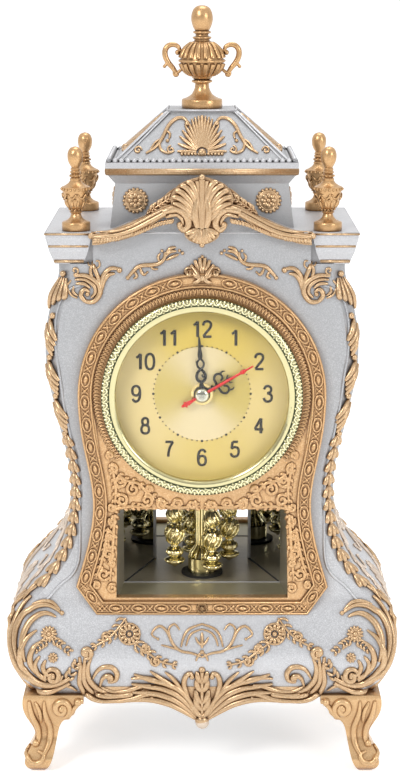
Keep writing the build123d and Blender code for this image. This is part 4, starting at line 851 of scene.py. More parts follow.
def makeDialMarks():
    height, pitch = dial["figureHeight"], dial["figurePitch"]
    strokes = []
    for hour in range(1, 13):
        middle = clockwise(30 * hour) * dial["numeralRadius"] / mm
        text = str(hour)
        wide = height * (dial["figureWidth"] + pitch * (len(text) - 1))
        for index, figure in enumerate(text):
            corner = middle + Vector((-wide / 2 + index * pitch * height, 0, -height / 2))
            for points in figures[figure]:
                places = [(corner + Vector((x / 100, 0, z / 100)) * height) * mm for x, z in points]
                closed = points[0] == points[-1]
                line = smoothLine(places[:-1] if closed else places, 4, closed)
                strokes.append(stroke(line, dial["figureStroke"], closed))
    dots = []
    for minute in range(60):
        size = dial["dotRadius"] if minute % 5 else dial["hourDotRadius"]
        dots.append((clockwise(6 * minute) * dial["ringRadius"], size))
    piece = joined("dial_marks", [tubes("dial_numbers", strokes, 1), beads("dial_dots", dots)])
    piece.data.transform(onDial(dial["faceY"], dial["inkDepth"]))
    finishPiece(piece, "printBlack")


makeDialMarks()

# Hands: pierced strokes cut flat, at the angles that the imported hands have; millimetres from the hub
hands = {
    "hour_hand": {
        "angle": 60.0,
        "y": -0.0437,
        "body": "hour_train",
        "look": "handBlack",
        "hub": 4.2,
        "single": [
            ((1.22, 0.81, 0.68), [(0, 3.5), (0, 9), (0, 15)]),
            ((0.68, 0.94, 0.14), [(0, 14), (0, 16.5), (0, 18.5)]),
        ],
        "paired": [
            (
                (0.68, 0.68, 0.54),
                [(0, 8.5), (1.6, 9), (3.9, 9.2), (5.4, 11), (4.6, 13), (2.6, 13.2), (1.4, 11.6)],
            ),
            ((0.54, 0.47, 0.2), [(4.6, 13), (5.2, 14.6), (4.6, 16)]),
            ((0.54, 0.47, 0.2), [(0, 15), (1.5, 15.2), (2.2, 16.4)]),
            ((0.94, 0.81, 0.41), [(0, 6), (1.8, 6.6)]),
        ],
    },
    "minute_hand": {
        "angle": -2.8,
        "y": -0.0446,
        "body": "minute_train",
        "look": "handBlack",
        "hub": 4.0,
        "single": [
            ((1.62, 0.94, 0.74), [(0, 3.5), (0, 5.2), (0, 6.6)]),
            ((0.61, 0.54, 0.34), [(2, 9), (0.8, 9.4), (0.6, 10.6)]),
            ((0.54, 0.47, 0.27), [(-1.6, 16.6), (-2.3, 17.2)]),
            ((0.75, 1.2, 0.8), [(0, 18.2), (0, 20.4), (0, 23)]),
            ((0.8, 0.72, 0.35), [(0, 22.5), (0, 26), (0, 29.6)]),
        ],
        "paired": [
            ((0.82, 0.86, 0.75), [(0, 6.6), (1.6, 7.6), (2.2, 9.6), (1.4, 11.8), (0, 13.2)]),
            ((0.61, 0.61, 0.54), [(0, 13.2), (1.3, 14.4), (1.7, 16.2), (1, 17.6), (0, 18.4)]),
        ],
    },
    "second_hand": {
        "angle": 59.6,
        "y": -0.0455,
        "body": "second_train",
        "look": "handRed",
        "hub": 1.7,
        "single": [
            ((0.69, 0.78, 0.4), [(0, -5), (0, 10), (0, 29.6)]),
            ((0.62, 1, 0.5), [(0, -5), (0, -8.6), (0, -11.8)]),
            ((0.38, 1.19, 0.38), [(0, 22), (0, 23.6), (0, 25.2)]),
        ],
        "paired": [
            ((0.75, 0.62, 0.25), [(0, -8.6), (1.6, -9.8)]),
            ((0.75, 0.5, 0.25), [(0, -8.6), (1.3, -7.6)]),
        ],
    },
}


handCut = {"hubDepth": 0.0016, "flatness": 0.25}


def makeHand(name, made):
    strokes = []
    for sides, drawn in (((1,), made["single"]), ((1, -1), made["paired"])):
        for radii, points in drawn:
            for side in sides:
                places = [Vector((side * x * mm, 0, z * mm)) for x, z in points]
                strokes.append(stroke(smoothLine(places, 5), radii))
    line = tubes(name + "_strokes", strokes, roundness=1)
    deselect()
    radius, depth, upright = made["hub"] * mm, handCut["hubDepth"], (math.pi / 2, 0, 0)
    bpy.ops.mesh.primitive_cylinder_add(vertices=32, radius=radius, depth=depth, rotation=upright)
    hub = bpy.context.object
    applyPlace(hub)
    piece = joined(name + "_pierced", [line, hub])
    piece.data.transform(onDial(made["y"], handCut["flatness"], made["angle"]))
    finishPiece(piece, made["look"], body=made["body"], stands=[name])


for name, made in hands.items():
    makeHand(name, made)

handCap = {"radius": 0.0036, "backY": -0.0457, "frontY": -0.0475}


# the domed cap over the hands
def makeHandCap():
    deselect()
    bpy.ops.mesh.primitive_uv_sphere_add(segments=40, ring_count=24, radius=handCap["radius"])
    piece = bpy.context.object
    piece.name = "hand_dome"
    bpy.ops.object.mode_set(mode="EDIT")
    bpy.ops.mesh.select_all(action="SELECT")
    bpy.ops.mesh.bisect(plane_co=(0, 0, 0), plane_no=(0, 1, 0), clear_outer=True, use_fill=True)
    bpy.ops.object.mode_set(mode="OBJECT")
    bpy.ops.object.shade_smooth_by_angle(angle=math.radians(40))
    depth = (handCap["backY"] - handCap["frontY"]) / handCap["radius"]
    piece.data.transform(onDial(handCap["backY"], depth))
    finishPiece(piece, "capSilver", body="second_train", stands=["hand_cap"])


makeHandCap()
print("dial and hands made")


# Relief of the case: pixels of the photograph's left half, radii in millimetres
faceTree = treeOf("front_shell", "rear_shell", "dial_frame")
belowY = -0.0525

upperAcanthus = {
    "tree": faceTree,
    "lift": 0.5,
    "ribs": [
        ((0.8, 1.5, 1.0), [(74, 275.6), (86.5, 275.6), (98, 283), (100, 293), (93.7, 301.4), (85.5, 301.4)]),
        ((1.0, 1.3, 0.6), [(85.5, 301.4), (80.8, 295), (84.4, 289), (89.6, 292)]),
        ((0.5, 1.1, 0.6), [(75, 279.5), (85, 279.5), (94, 285.5), (95.5, 292.5), (91, 297.5)]),
        ((0.5, 1.0, 0.5), [(76, 283.5), (84, 283.5), (90.5, 288)]),
        ((0.5, 1.2, 0.5), [(102, 291), (104, 281), (109, 274.5), (115, 273.5)]),
        ((0.4, 1.0, 0.4), [(99, 288), (93, 279), (90.5, 270), (93, 263)]),
        ((0.4, 0.7, 0.4), [(71, 280), (67.5, 287), (71, 294.5), (77.5, 298)]),
        ((0.4, 0.8, 0.4), [(74, 286), (73, 291.5), (77.5, 295.5)]),
        ((0.9, 1.2, 0.6), [(101, 287), (98, 277), (94, 267), (91.7, 258)]),
        ((0.3, 0.5, 0.3), [(94, 266), (89, 265), (87, 260), (90, 258)]),
        ((0.3, 0.5, 0.3), [(95, 269), (99.5, 266), (99, 261), (96, 261)]),
        ((1.1, 1.2, 0.8), [(101, 289), (103, 276), (110.5, 268.3), (119, 269)]),
    ],
    "spirals": [((0.5, 0.6, 0.4), 75, 270.5, 4, 250, 1.1)],
    "balls": [(91.7, 255.5, 1.2), (119.5, 270, 1.5), (87.5, 294, 1.3)],
}
sprig = {
    "tree": faceTree,
    "lift": 0.5,
    "ribs": [
        (
            (0.7, 1.1, 0.7),
            [(127.8, 277.7), (133, 271.5), (140.2, 265.8), (156.7, 264.3), (164, 259), (165, 252)],
        ),
        ((0.4, 0.8, 0.3), [(140, 266), (141, 271), (144, 274.6), (147, 272.5)]),
        ((0.4, 0.7, 0.3), [(150, 264.5), (153, 268.5), (158, 269)]),
        ((0.5, 1.0, 0.4), [(165, 257), (170, 251.5), (176.5, 251)]),
        ((0.4, 0.9, 0.3), [(165.5, 254), (170, 248.5), (176, 247)]),
        ((0.4, 0.9, 0.3), [(166, 260), (173, 256.5), (179, 254)]),
        ((0.4, 0.7, 0.3), [(160, 262), (158, 257), (160.5, 253)]),
        ((0.4, 0.8, 0.4), [(134, 271), (137, 276), (133.5, 278.5)]),
    ],
    "balls": [
        (127.8, 277.7, 1.1), (162, 250.8, 0.8), (179.5, 250.5, 0.8), (182.5, 253, 0.9),
        (147.5, 272, 0.6),
    ],
}
dialShell = {
    "tree": faceTree,
    "lift": 1.0,
    "copies": middleOnly,
    "fans": [((0.7, 1.2, 0.9), (202.3, 279, 3, 2), (202.3, 278, 15, 21), range(20, 161, 20))],
    "spirals": [((0.9, 0.8, 0.4), 189, 272, 4.6, 60, 1.3), ((0.9, 0.8, 0.4), 215.5, 272, 4.6, 120, 1.3, -1)],
    "ribs": [
        ((0.9, 1.2, 0.5), [(202.3, 276), (198, 281), (193, 282.5)]),
        ((0.9, 1.2, 0.5), [(202.3, 276), (206.5, 281), (211.5, 282.5)]),
    ],
    "balls": [(202.3, 278, 1.8), (202.3, 256.5, 0.9)],
}
edgePoints = [(80.6, 285.4), (70.1, 288.9), (61.7, 298.7), (56.8, 314), (55.4, 331), (56.1, 350.6)]
edgePoints += [(58.9, 370), (61.7, 388.5), (65.2, 411), (68.7, 426), (72.9, 446), (78, 470), (80, 500)]
edgePoints += [(80, 530), (79, 560), (72, 575), (60, 585), (47, 600)]
edgeLine = {
    "tree": caseTree,
    "lift": 0.1,
    "look": "silverPaint",
    "ribs": [((0.75, 0.75, 0.75), edgePoints)],
    "balls": [],
}
lowerScroll = {
    "tree": faceTree,
    "lift": 0.7,
    "copies": allCorners,
    "stands": ["corner_scrolls"],
    "sheaves": [
        (
            (0.7, 2.2, 1.2), 2,
            [
                (38, 586), (20, 600), (9, 620), (5, 642), (9, 663), (18, 677), (31, 687),
                (44, 691), (57, 688), (70, 682),
            ],
            [
                (32, 596), (23, 606), (15, 624), (12, 642), (16, 660), (25, 673), (37, 681),
                (48, 684), (60, 682), (70, 677),
            ],
        ),
        (
            (0.5, 1.8, 0.8), 2,
            [(62, 614), (51, 605.5), (36, 606), (24, 615), (17, 629), (16, 647), (20, 663)],
            [(56, 617), (48, 613), (38, 615), (29, 623), (23, 636), (22, 650), (25, 662)],
        ),
        (
            (0.5, 1.8, 0.8), 2,
            [(37, 630), (27, 638), (21, 650), (22, 664), (30, 675), (43, 682)],
            [(41, 641), (34, 647), (30, 656), (31, 665), (38, 673), (47, 678)],
        ),
        (
            (0.5, 1.4, 0.7), 2,
            [(40, 656), (35, 664), (38, 673), (46, 680)],
            [(46, 660), (43, 666), (45, 672), (51, 676)],
        ),
    ],
    "ribs": [
        ((0.5, 1.3, 0.5), [(38, 583), (32, 589), (24, 600)]),
        ((0.5, 1.2, 0.5), [(28, 590), (20, 598), (12, 612)]),
        ((0.5, 1.1, 0.4), [(60, 610), (52, 602), (42, 601), (32, 604)]),
        ((0.5, 0.9, 0.3), [(60, 684), (70, 686), (77, 690)]),
    ],
    "spirals": [((1.0, 1.6, 0.7), 53, 676, 8.5, 200, 1.5, -1)],
    "feathers": [
        ((0.3, 1.0, 0.3), [(60, 684), (68, 677), (74, 668), (77, 662)], 5, 8, 50, 0.6),
        ((0.3, 0.8, 0.3), [(47, 641), (41, 645), (35, 650)], 4, 5.5, 60, 0.8),
        ((0.3, 0.8, 0.3), [(54, 640), (62, 645), (71, 653)], 5, 5.5, 60, 0.8),
    ],
    "rosettes": [((0.5, 0.9, 0.5), 49, 634, 8.2, 13), ((0.4, 0.8, 0.4), 53, 657.5, 5, 9)],
    "rings": [(0.6, 49, 634, 3.6, 8)],
    "balls": [(49, 634, 1.5), (53, 657.5, 1.0), (53, 676, 1.5), (62, 613, 1.3)],
}
middleScroll = {
    "tree": faceTree,
    "lift": 0.7,
    "missY": belowY,
    "sheaves": [
        (
            (0.8, 1.6, 0.8), 3,
            [(79.5, 657), (80.5, 670), (80, 682), (86, 693), (98, 700), (120, 701)],
            [(91, 658), (87.5, 668), (89.5, 679), (97, 687), (108, 691.5), (124, 692)],
        ),
        (
            (0.5, 1.5, 0.8), 2,
            [(93, 678), (97, 671), (104, 667), (112, 667.5), (117, 673), (115, 680), (108, 681)],
            [(100, 686), (102, 679), (106, 675.5), (110, 675.5), (111.5, 677.5), (110, 679.5), (108, 679)],
        ),
        (
            (0.5, 1.6, 0.6), 3,
            [(101, 686), (112, 690.5), (126, 690), (140, 685.5), (151, 684)],
            [(104, 700), (118, 700.5), (133, 698), (146, 694), (155, 695)],
        ),
    ],
    "spirals": [((1.0, 1.5, 0.7), 86.5, 653, 6, 250, 1.4)],
    "balls": [(86.5, 653, 1.6), (109, 677, 1.5)],
}
festoonLines = [
    [(126, 618), (117, 630), (106, 640), (92, 647)],
    [(134, 643), (146, 651), (160, 661), (177, 665)],
]
festoon = {
    "tree": faceTree,
    "lift": 0.6,
    "missY": belowY,
    "ribs": [((0.5, 0.7, 0.5), line) for line in festoonLines],
    "feathers": [((0.3, 0.8, 0.3), line, 6, 9) for line in festoonLines],
    "rosettes": [((0.8, 1.1, 0.8), 129.4, 634, 9.6, 12, 0.45)],
    "spirals": [
        ((0.6, 0.8, 0.4), 106.4, 637, 5, 30, 1.5),
        ((0.6, 0.8, 0.4), 146.4, 649, 5, 80, 1.5),
        ((0.6, 0.8, 0.4), 155.6, 661, 5, 140, 1.5),
    ],
    "rings": [(0.6, 129.4, 634, 10.4, 16), (0.6, 129.4, 634, 4.8, 10)],
    "balls": [(129.4, 634, 1.5), (106.4, 637, 1.0), (146.4, 649, 1.0), (155.6, 661, 1.0)],
}
cartoucheEdge = [(158, 639), (151.6, 634), (158.8, 626), (166.7, 631), (173, 644), (181, 651), (191.5, 653)]
cartouche = {
    "tree": faceTree,
    "lift": 0.3,
    "missY": belowY,
    "ribs": [
        ((0.4, 0.7, 0.5), [(181, 647), (184, 636), (190, 628.5), (202.3, 624)]),
        ((0.4, 0.6, 0.4), [(186, 646), (188.5, 638), (193, 632.5), (202.3, 629)]),
        ((0.4, 0.8, 0.5), cartoucheEdge + [(202.3, 657)]),
        ((0.4, 0.6, 0.4), [(179.7, 630), (174.5, 624), (168.6, 629), (171, 639)]),
        ((0.4, 0.6, 0.4), [(161.4, 645), (173, 648), (185, 652)]),
        ((0.4, 0.8, 0.3), [(202.3, 648), (202.3, 640), (202.3, 632.5)]),
        ((0.3, 0.7, 0.3), [(202.3, 646), (198, 642), (195.5, 637)]),
        ((0.3, 0.7, 0.3), [(202.3, 652), (198, 656), (196, 661)]),
    ],
    "balls": [(202.3, 652, 1.1), (158, 639, 0.8)],
}
bottomLeafage = {
    "tree": treeOf("front_shell", "rear_shell", "apron"),
    "lift": 0.7,
    "missY": belowY,
    "sheaves": [
        (
            (0.6, 1.9, 0.6), 4,
            [(198, 715), (190, 701), (179, 689), (165, 682), (150, 679), (134, 674)],
            [(196, 719), (184, 711), (171, 704), (157, 700), (143, 699), (126, 701)],
        ),
    ],
    "ribs": [
        ((0.6, 1.3, 0.4), [(190, 701), (182, 689), (174, 679), (165, 671.5)]),
        ((0.6, 1.3, 0.4), [(184, 694), (172, 684), (160, 677), (150, 670.5)]),
        ((0.6, 1.2, 0.4), [(170, 686), (156, 679), (143, 677), (131, 678)]),
        (
            (1.0, 1.5, 0.8),
            [(199, 716), (191, 704), (186, 692), (184, 682), (186.5, 675), (191, 673), (193, 677)],
        ),
        ((1.0, 0.9, 0.9), [(202.3, 671), (202.3, 690), (202.3, 707), (202.3, 718)]),
    ],
    "feathers": [((0.6, 1.6, 0.6), [(202.3, 718), (202.3, 700), (202.3, 676)], 5, 16, 38, 0.6)],
    "balls": [(202.3, 669.5, 1.7), (192, 676, 1.5), (152, 698, 1.4), (139, 699.5, 1.2)],
}
crest = {
    "plane": -0.0502,
    "ribs": [
        ((1.2, 1.1, 1.0), [(197, 181), (198.6, 200), (200, 228)]),
        ((1.1, 1.1, 1.0), [(200.8, 179.5), (201, 200), (201.6, 229)]),
        ((1.0, 1.8, 1.0), [(199, 210), (196.5, 195), (192, 184.5), (186.5, 182)]),
        ((1.0, 1.8, 1.0), [(198, 212), (193.5, 197), (187, 188), (180.5, 185.5)]),
        ((1.0, 1.8, 1.0), [(197, 215), (190, 201), (182, 192.5), (175.5, 190.5)]),
        ((1.0, 1.7, 1.0), [(196, 217), (188, 205.5), (180, 198.5), (172.5, 197)]),
        ((1.0, 1.6, 0.9), [(195, 219), (187, 210), (180, 205), (173, 203.5)]),
        ((1.0, 1.4, 0.8), [(195, 221), (188, 214.5), (182, 210.5), (176, 209.5)]),
        ((1.3, 2.1, 1.3), [(197, 196), (195, 213), (197.5, 228)]),
    ]
    + [
        ((1.0, 1.6, 1.2), [(200 - 0.5 * flute, 229), (200.5 - 3.6 * flute, 243.5 - 0.62 * flute * flute)])
        for flute in range(5)
    ],
    "balls": [(202.3, 177.5, 1.5), (202.3, 245, 1.3)],
}
# the plates that carry the crest's and the sprigs' ribs: outlines in pixels, from the top down
crestPlate = {
    "frontY": -0.0497,
    "backY": -0.0442,
    "outline": [(202.3, 177), (196.5, 178.5), (189, 181), (181, 184), (175, 189), (171, 196), (171, 203)]
    + [(174, 209), (180, 213), (186, 218), (188, 225), (184.5, 231), (185.5, 237), (192, 242)]
    + [(202.3, 245.5)],
    "sprigFrontY": -0.0462,
    "sprigOutline": [(146, 214), (150, 208), (160, 200), (170, 191), (178, 188), (182, 198), (172, 210)]
    + [(160, 216), (148, 221)],
}


def makeCrestPlates():
    deep = crestPlate["backY"] - crestPlate["frontY"]
    half = smoothLine([onPlane(*pixel, crestPlate["frontY"]) for pixel in crestPlate["outline"]], 3)
    shell = plate("crest_plate", half + [copied(place, (-1, 1)) for place in half[-2:0:-1]], deep)
    finishPiece(shell, "copperGold", stands=["crest_shell"])
    thin = crestPlate["backY"] - crestPlate["sprigFrontY"]
    places = [onPlane(*pixel, crestPlate["sprigFrontY"]) for pixel in crestPlate["sprigOutline"]]
    places = smoothLine(places, 2, True)
    sprigs = [plate("sprig_plate", [copied(place, signs) for place in places], thin) for signs in bothSides]
    finishPiece(joined("sprig_plates", sprigs), "copperGold")


makeCrestPlates()
crestSprig = {
    "plane": -0.0466,
    "ribs": [((0.4, 0.7, 0.4), [(148.5, 213), (158, 206), (167, 200), (177, 193)])],
    "feathers": [((0.3, 0.9, 0.3), [(150, 212), (158, 206), (167, 200), (177, 194)], 7, 7, 50, 0.7)],
    "balls": [(148, 213.5, 0.8)],
}
pedimentRope = [(94.4, 240.5), (108, 239.6), (122, 237.3), (133, 234), (143, 230.2), (158, 224), (172, 221)]
pedimentRoll = {
    "tree": treeOf("pediment_moulding"),
    "lift": 0.2,
    "missY": -0.0490,
    "ribs": [
        ((0.6, 0.8, 0.7), [(92, 233), (113, 231.5), (131, 226.5), (150, 216.5), (163, 210)]),
        ((0.9, 1.3, 1.4), [(92, 237), (113, 235.5), (131, 230.5), (150, 221), (165, 213)]),
        ((1.6, 2.3, 1.3), [(163, 212), (176, 209), (185.5, 214), (189, 223), (185, 230), (179, 226)]),
        ((0.8, 1.2, 0.8), [(166, 217), (176, 214.5), (182, 219), (183, 225)]),
        ((0.8, 0.8, 0.7), pedimentRope),
    ]
    + [
        ((0.6, 1.05, 0.6), [(place.x - 1.2, place.y + 2.4), (place.x + 1.2, place.y - 2.4)])
        for place in smoothLine([Vector(point) for point in pedimentRope], 5)
    ],
    "balls": [(91, 236, 1.6), (180, 225, 1.8)],
}
feetLeaves = {
    "tree": treeOf("feet"),
    "lift": 0.3,
    "look": "feetGold",
    "copies": allCorners,
    "spirals": [((1.4, 1.9, 0.8), 61.5, 708.5, 9, 300, 1.6)],
    "ribs": [
        ((0.9, 1.6, 0.8), [(29, 701), (32, 714), (38, 727), (39, 738), (36, 745)]),
        ((0.6, 1.7, 0.9), [(44, 701), (45, 713), (50, 728), (49, 743), (43, 756)]),
        ((0.6, 1.2, 0.6), [(35, 702), (40, 712), (41, 722)]),
        ((0.9, 1.3, 0.6), [(83, 700), (75, 707), (68, 717), (61, 725)]),
        ((1.1, 1.4, 0.7), [(31, 745), (27, 753), (31, 762), (40, 762), (44, 755), (38, 751)]),
    ],
    "balls": [(78, 702, 2.2), (36, 743, 2.1), (61.5, 708.5, 2.0)],
}
# the roof's slope, half sizes at its foot and top, in millimetres but for its heights
roofHalf = {"baseZ": 0.3148, "topZ": 0.3390, "baseX": 43.5, "baseY": 30.5, "topX": 16.6, "topY": 12.0}


# the same relief on a side face: a quarter turn, with the roof's or attic's own depth for its width
def toSideFace(place):
    share = min(max((place.z - roofHalf["baseZ"]) / (roofHalf["topZ"] - roofHalf["baseZ"]), 0), 1)
    wide = roofHalf["baseX"] + (roofHalf["topX"] - roofHalf["baseX"]) * share
    deep = roofHalf["baseY"] + (roofHalf["topY"] - roofHalf["baseY"]) * share
    return Vector((-place.y * wide / deep, place.x * deep / wide, place.z))


roofRelief = {
    "tree": treeOf("roof"),
    "lift": 0.3,
    "copies": allCorners,
    "turned": toSideFace,
    "ribs": [
        (
            (0.7, 1.0, 0.6),
            [(188, 124), (184, 118.5), (176, 119), (168.5, 126), (163, 137), (156, 147), (146, 153.5)],
        ),
        ((0.5, 0.8, 0.5), [(163, 137), (159.5, 143), (161, 150), (168, 153.5), (174, 151)]),
        ((0.4, 0.7, 0.4), [(166, 131), (170, 134), (169, 139)]),
        ((0.4, 0.6, 0.3), [(150, 151), (155, 143), (161, 139)]),
    ],
    "spirals": [((0.4, 0.6, 0.3), 138, 150.5, 4, 0, 1.3), ((0.4, 0.6, 0.3), 171, 150, 4, 90, 1.3)],
    "fans": [
        (
            (0.7, 1.1, 0.5), (202.3, 153, 6, 5), (202.3, 153, 25, 37),
            (92, 99, 107, 115, 124, 133, 143, 154, 166, 178),
        ),
    ],
    "balls": [(187.3, 124, 1.5), (167.5, 141, 1.0), (202.3, 153, 2.0)]
    + [(202.3 - 3.4 * step, 154.5, 0.9) for step in range(1, 7)],
}
atticRosette = {
    "tree": treeOf("attic"),
    "lift": 0.3,
    "missY": -0.031,
    "copies": allCorners,
    "turned": toSideFace,
    "rosettes": [
        ((0.9, 1.7, 0.7), 135.5, 200.5, 8.6, 8, 0.25), ((0.4, 0.8, 0.4),
        135.5, 200.5, 9.6, 24, 0.7),
    ],
    "rings": [(0.9, 135.5, 200.5, reach, 16) for reach in (5.0, 7.6, 9.6)],
    "balls": [(135.5, 200.5, 1.6)] + [(*point, 1.0) for point in ringOf(135.5, 200.5, 11.2, 18)],
}


# relief of the flanks, drawn as (y, z) in millimetres on the half towards the back
def onFlank(point, lift):
    start = Vector((-0.2, point.x * mm, point.y * mm))
    place, normal, _, _ = caseTree.ray_cast(start, Vector((1, 0, 0)))
    return place + normal * (lift if normal.x < 0 else -lift)


flankScroll = {
    "surface": onFlank,
    "look": "pearlGold",
    "lift": 0.4,
    "copies": allCorners,
    "ribs": [
        (
            (0.6, 1.1, 0.6),
            [(1, 136), (8, 140), (16, 137), (22, 128), (21, 117), (14, 112), (8.5, 115), (9.5, 121)],
        ),
        ((0.6, 1.2, 0.6), [(21, 118), (26, 106), (28, 92), (25, 78), (17, 69), (9, 71), (7.5, 79), (13, 82)]),
        ((0.5, 0.8, 0.4), [(25, 108), (19, 101), (13, 100), (9, 104)]),
        ((0.5, 0.8, 0.4), [(28, 92), (32, 84), (32, 74), (28, 66)]),
        ((0.6, 1.0, 0.5), [(13, 69), (9, 60), (1, 56)]),
    ],
    "feathers": [
        ((0.3, 0.8, 0.3), [(21, 118), (26, 106), (28, 92), (25, 78)], 6, 6, 55, 0.8, (1,)),
        ((0.3, 0.7, 0.3), [(3, 142), (2, 152), (1.5, 166), (1, 182)], 7, 6, 50, 0.5),
    ],
    "fans": [((0.6, 1.2, 0.5), (0, 76, 3, -3), (0, 76, 15, -22), (82, 66, 50, 34, 16, -4))],
    "balls": [
        (9.5, 120, 1.4), (12.5, 81, 1.5), (9, 104, 1.1), (0.2, 76, 2.4),
        (0.2, 56, 1.6), (0.2, 140, 1.8),
    ],
}
case = {
    "flank_scrolls": flankScroll,
    "acanthus_relief": upperAcanthus,
    "sprig_relief": sprig,
    "shell_over_dial": dialShell,
    "edge_line": edgeLine,
    "lower_scrolls": lowerScroll,
    "middle_scrolls": middleScroll,
    "festoons": festoon,
    "cartouche": cartouche,
    "bottom_leafage": bottomLeafage,
    "crest_leaves": crest,
    "crest_sprigs": crestSprig,
    "pediment_roll": pedimentRoll,
    "feet_leaves": feetLeaves,
    "roof_scrolls": roofRelief,
    "attic_rosettes": atticRosette,
}
for name, made in case.items():
    makeRelief(name, made)
print("relief laid on the case")


# Corner garlands: leaves and husks down the chamfered corners, held by beads
garland = {
    "chamfer": 6.5,
    "beadPixels": [(61.3, 272.8), (45.6, 315), (44.9, 358.4), (50.5, 398.4), (61, 436.3)],
    "beadRadius": 1.7,
    "reach": 4.4,
    "ribs": 4,
    "ribRadii": (0.6, 1.5, 0.8),
    "lowestHuskPixel": (40, 577),
    "husks": 12,
    "huskReach": 3.1,
}


# a place on the front left corner: height, way across the chamfer and lift, in millimetres
def cornerPlace(height, across, lift):
    half = garland["chamfer"] / math.sqrt(2) * mm
    side = caseTree.ray_cast(Vector((-0.2, 0, height * mm)), Vector((1, 0, 0)))[0].x
    beside = Vector((side + garland["chamfer"] * mm * 1.4, -0.2, height * mm))
    front = caseTree.ray_cast(beside, Vector((0, 1, 0)))[0].y
    place = Vector((side, front, height * mm)) + Vector((1, 1, 0)) * garland["chamfer"] * mm / 2
    place += Vector((1, -1, 0)).normalized() * max(-half, min(half, across * mm))
    place += Vector((-1, -1, 0)).normalized() * lift * mm
    place.x += max(across * mm - half, 0)
    place.y += max(-across * mm - half, 0)
    return place


def cornerStroke(points, radii, steps=4):
    line = smoothLine([Vector(point) for point in points], steps)
    return stroke([inBox(cornerPlace(*place), max(radii)) for place in line], radii)


# the leaf between two beads: the first spreads downwards, the others lie slanting
def garlandRib(index, top, bottom, share):
    length, reach = top - bottom, garland["reach"]
    if index == 0:
        start = (top - 2, (share - 0.5) * reach)
        belly = (top - length * 0.5, (share - 0.45) * 2.2 * reach)
        end = (bottom + 3 + 7 * share, (share - 0.62) * 2 * reach)
    else:
        start = (top - length * (0.07 + 0.40 * share), -reach * (0.45 + 0.55 * math.sin(3 * share)))
        end = (bottom + length * (0.42 - 0.38 * share), reach * (1.0 - 0.65 * share))
        belly = ((start[0] + end[0]) / 2, (start[1] + end[1]) / 2)
    return [(*start, 0.6), (*belly, 1.6), (*end, 0.5)]


def makeGarlands():
    heights = [onClock(*pixel, caseTree)[0].z / mm for pixel in garland["beadPixels"]]
    strokes, balls = [], []
    for index, (top, bottom) in enumerate(zip(heights, heights[1:])):
        for rib in range(garland["ribs"]):
            points = garlandRib(index, top, bottom, rib / (garland["ribs"] - 1))
            strokes.append(cornerStroke(points, garland["ribRadii"]))
    first, wide = heights[-1] - 3, garland["huskReach"]
    lowest = onClock(*garland["lowestHuskPixel"], caseTree)[0].z / mm
    for husk in range(garland["husks"]):
        at = first - (first - lowest) * husk / (garland["husks"] - 1)
        strokes.append(cornerStroke([(at + 3, 0, 0.5), (at, 0, 1.3), (at - 3.2, 0, 0.9)], (0.7, 1.6, 1.1), 3))
        for side in (-1, 1):
            petal = [(at + 2.8, 0.5 * side, 0.4), (at - 0.6, wide * 0.7 * side, 0.9)]
            strokes.append(cornerStroke(petal + [(at - 3.0, wide * side, 0.7)], (0.6, 1.4, 1.1), 3))
        balls.append((cornerPlace(at + 3.4, 0, 0.8), 1.1))
    balls += [(cornerPlace(height, 0, 1.2), garland["beadRadius"]) for height in heights]
    cast("garlands", "copperGold", strokes, balls, allCorners, stands=["corner_garlands"])


makeGarlands()


# Turned pieces: (radius, height) in millimetres up an upright axis
def turned(name, profile, centre, segments):
    deselect()
    x, y = centre
    (radius, height), *further = profile
    start = (x, y, height * mm)
    bpy.ops.mesh.primitive_circle_add(vertices=segments, radius=radius * mm, fill_type="NGON", location=start)
    piece = bpy.context.object
    piece.name = name
    applyPlace(piece)
    bpy.ops.object.mode_set(mode="EDIT")
    bpy.ops.mesh.select_all(action="SELECT")
    for nextRadius, nextHeight in further:
        up = (0, 0, (nextHeight - height) * mm)
        bpy.ops.mesh.extrude_region_move(TRANSFORM_OT_translate={"value": up})
        grow = nextRadius / radius
        bpy.ops.transform.resize(value=(grow, grow, 1), center_override=(x, y, nextHeight * mm))
        radius, height = nextRadius, nextHeight
    bpy.ops.mesh.select_all(action="SELECT")
    bpy.ops.mesh.normals_make_consistent(inside=False)
    bpy.ops.object.mode_set(mode="OBJECT")
    bpy.ops.object.shade_smooth_by_angle(angle=math.radians(50))
    return piece


def smoothProfile(steps, points):
    line = smoothLine([Vector((radius, height, 0)) for radius, height in points], steps)
    return [(max(place.x, 0.2), place.y) for place in line]


def roundAxis(centre, radius, angle, height):
    across = Vector((math.cos(angle), math.sin(angle))) * radius * mm
    return Vector((centre[0] + across.x, centre[1] + across.y, height * mm))


# upright ribs round an axis; each follows its own (radius, height) points
def around(centre, count, radii, points, start=0.0, twist=0.0):
    line = smoothLine([Vector((radius, height, 0)) for radius, height in points], 3)
    strokes = []
    for index in range(count):
        places = []
        for step, place in enumerate(line):
            turn = start + 2 * math.pi * (index + twist * step / len(line)) / count
            places.append(roundAxis(centre, place.x, turn, place.y))
        strokes.append(stroke(places, radii))
    return strokes


def axisRing(centre, radius, height, count):
    return [roundAxis(centre, radius, 2 * math.pi * index / count, height) for index in range(count)]


# one or more of a turned piece, with ribs, fillets and rings of pearls round each: a profile's
# sections are (steps, points), ribs (count, radii, points, start, twist), fillets (radius, height,
# thickness) and pearls (radius, height, count, size)
def makeTurned(name, made, centres, **said):
    solids, strokes, balls = [], [], []
    profile = [place for section in made["profile"] for place in smoothProfile(*section)]
    for centre in centres:
        solids.append(turned(name + "_body", profile, centre, made["segments"]))
        for ribs in made["ribs"]:
            strokes += around(centre, *ribs)
        for radius, height, size in made.get("fillets", []):
            strokes.append(stroke(axisRing(centre, radius, height, 40), size, True))
        for radius, height, count, size in made.get("pearls", []):
            balls += [(place, size) for place in axisRing(centre, radius, height, count)]
    cast(name, made["look"], strokes, balls, solids=solids, **said)


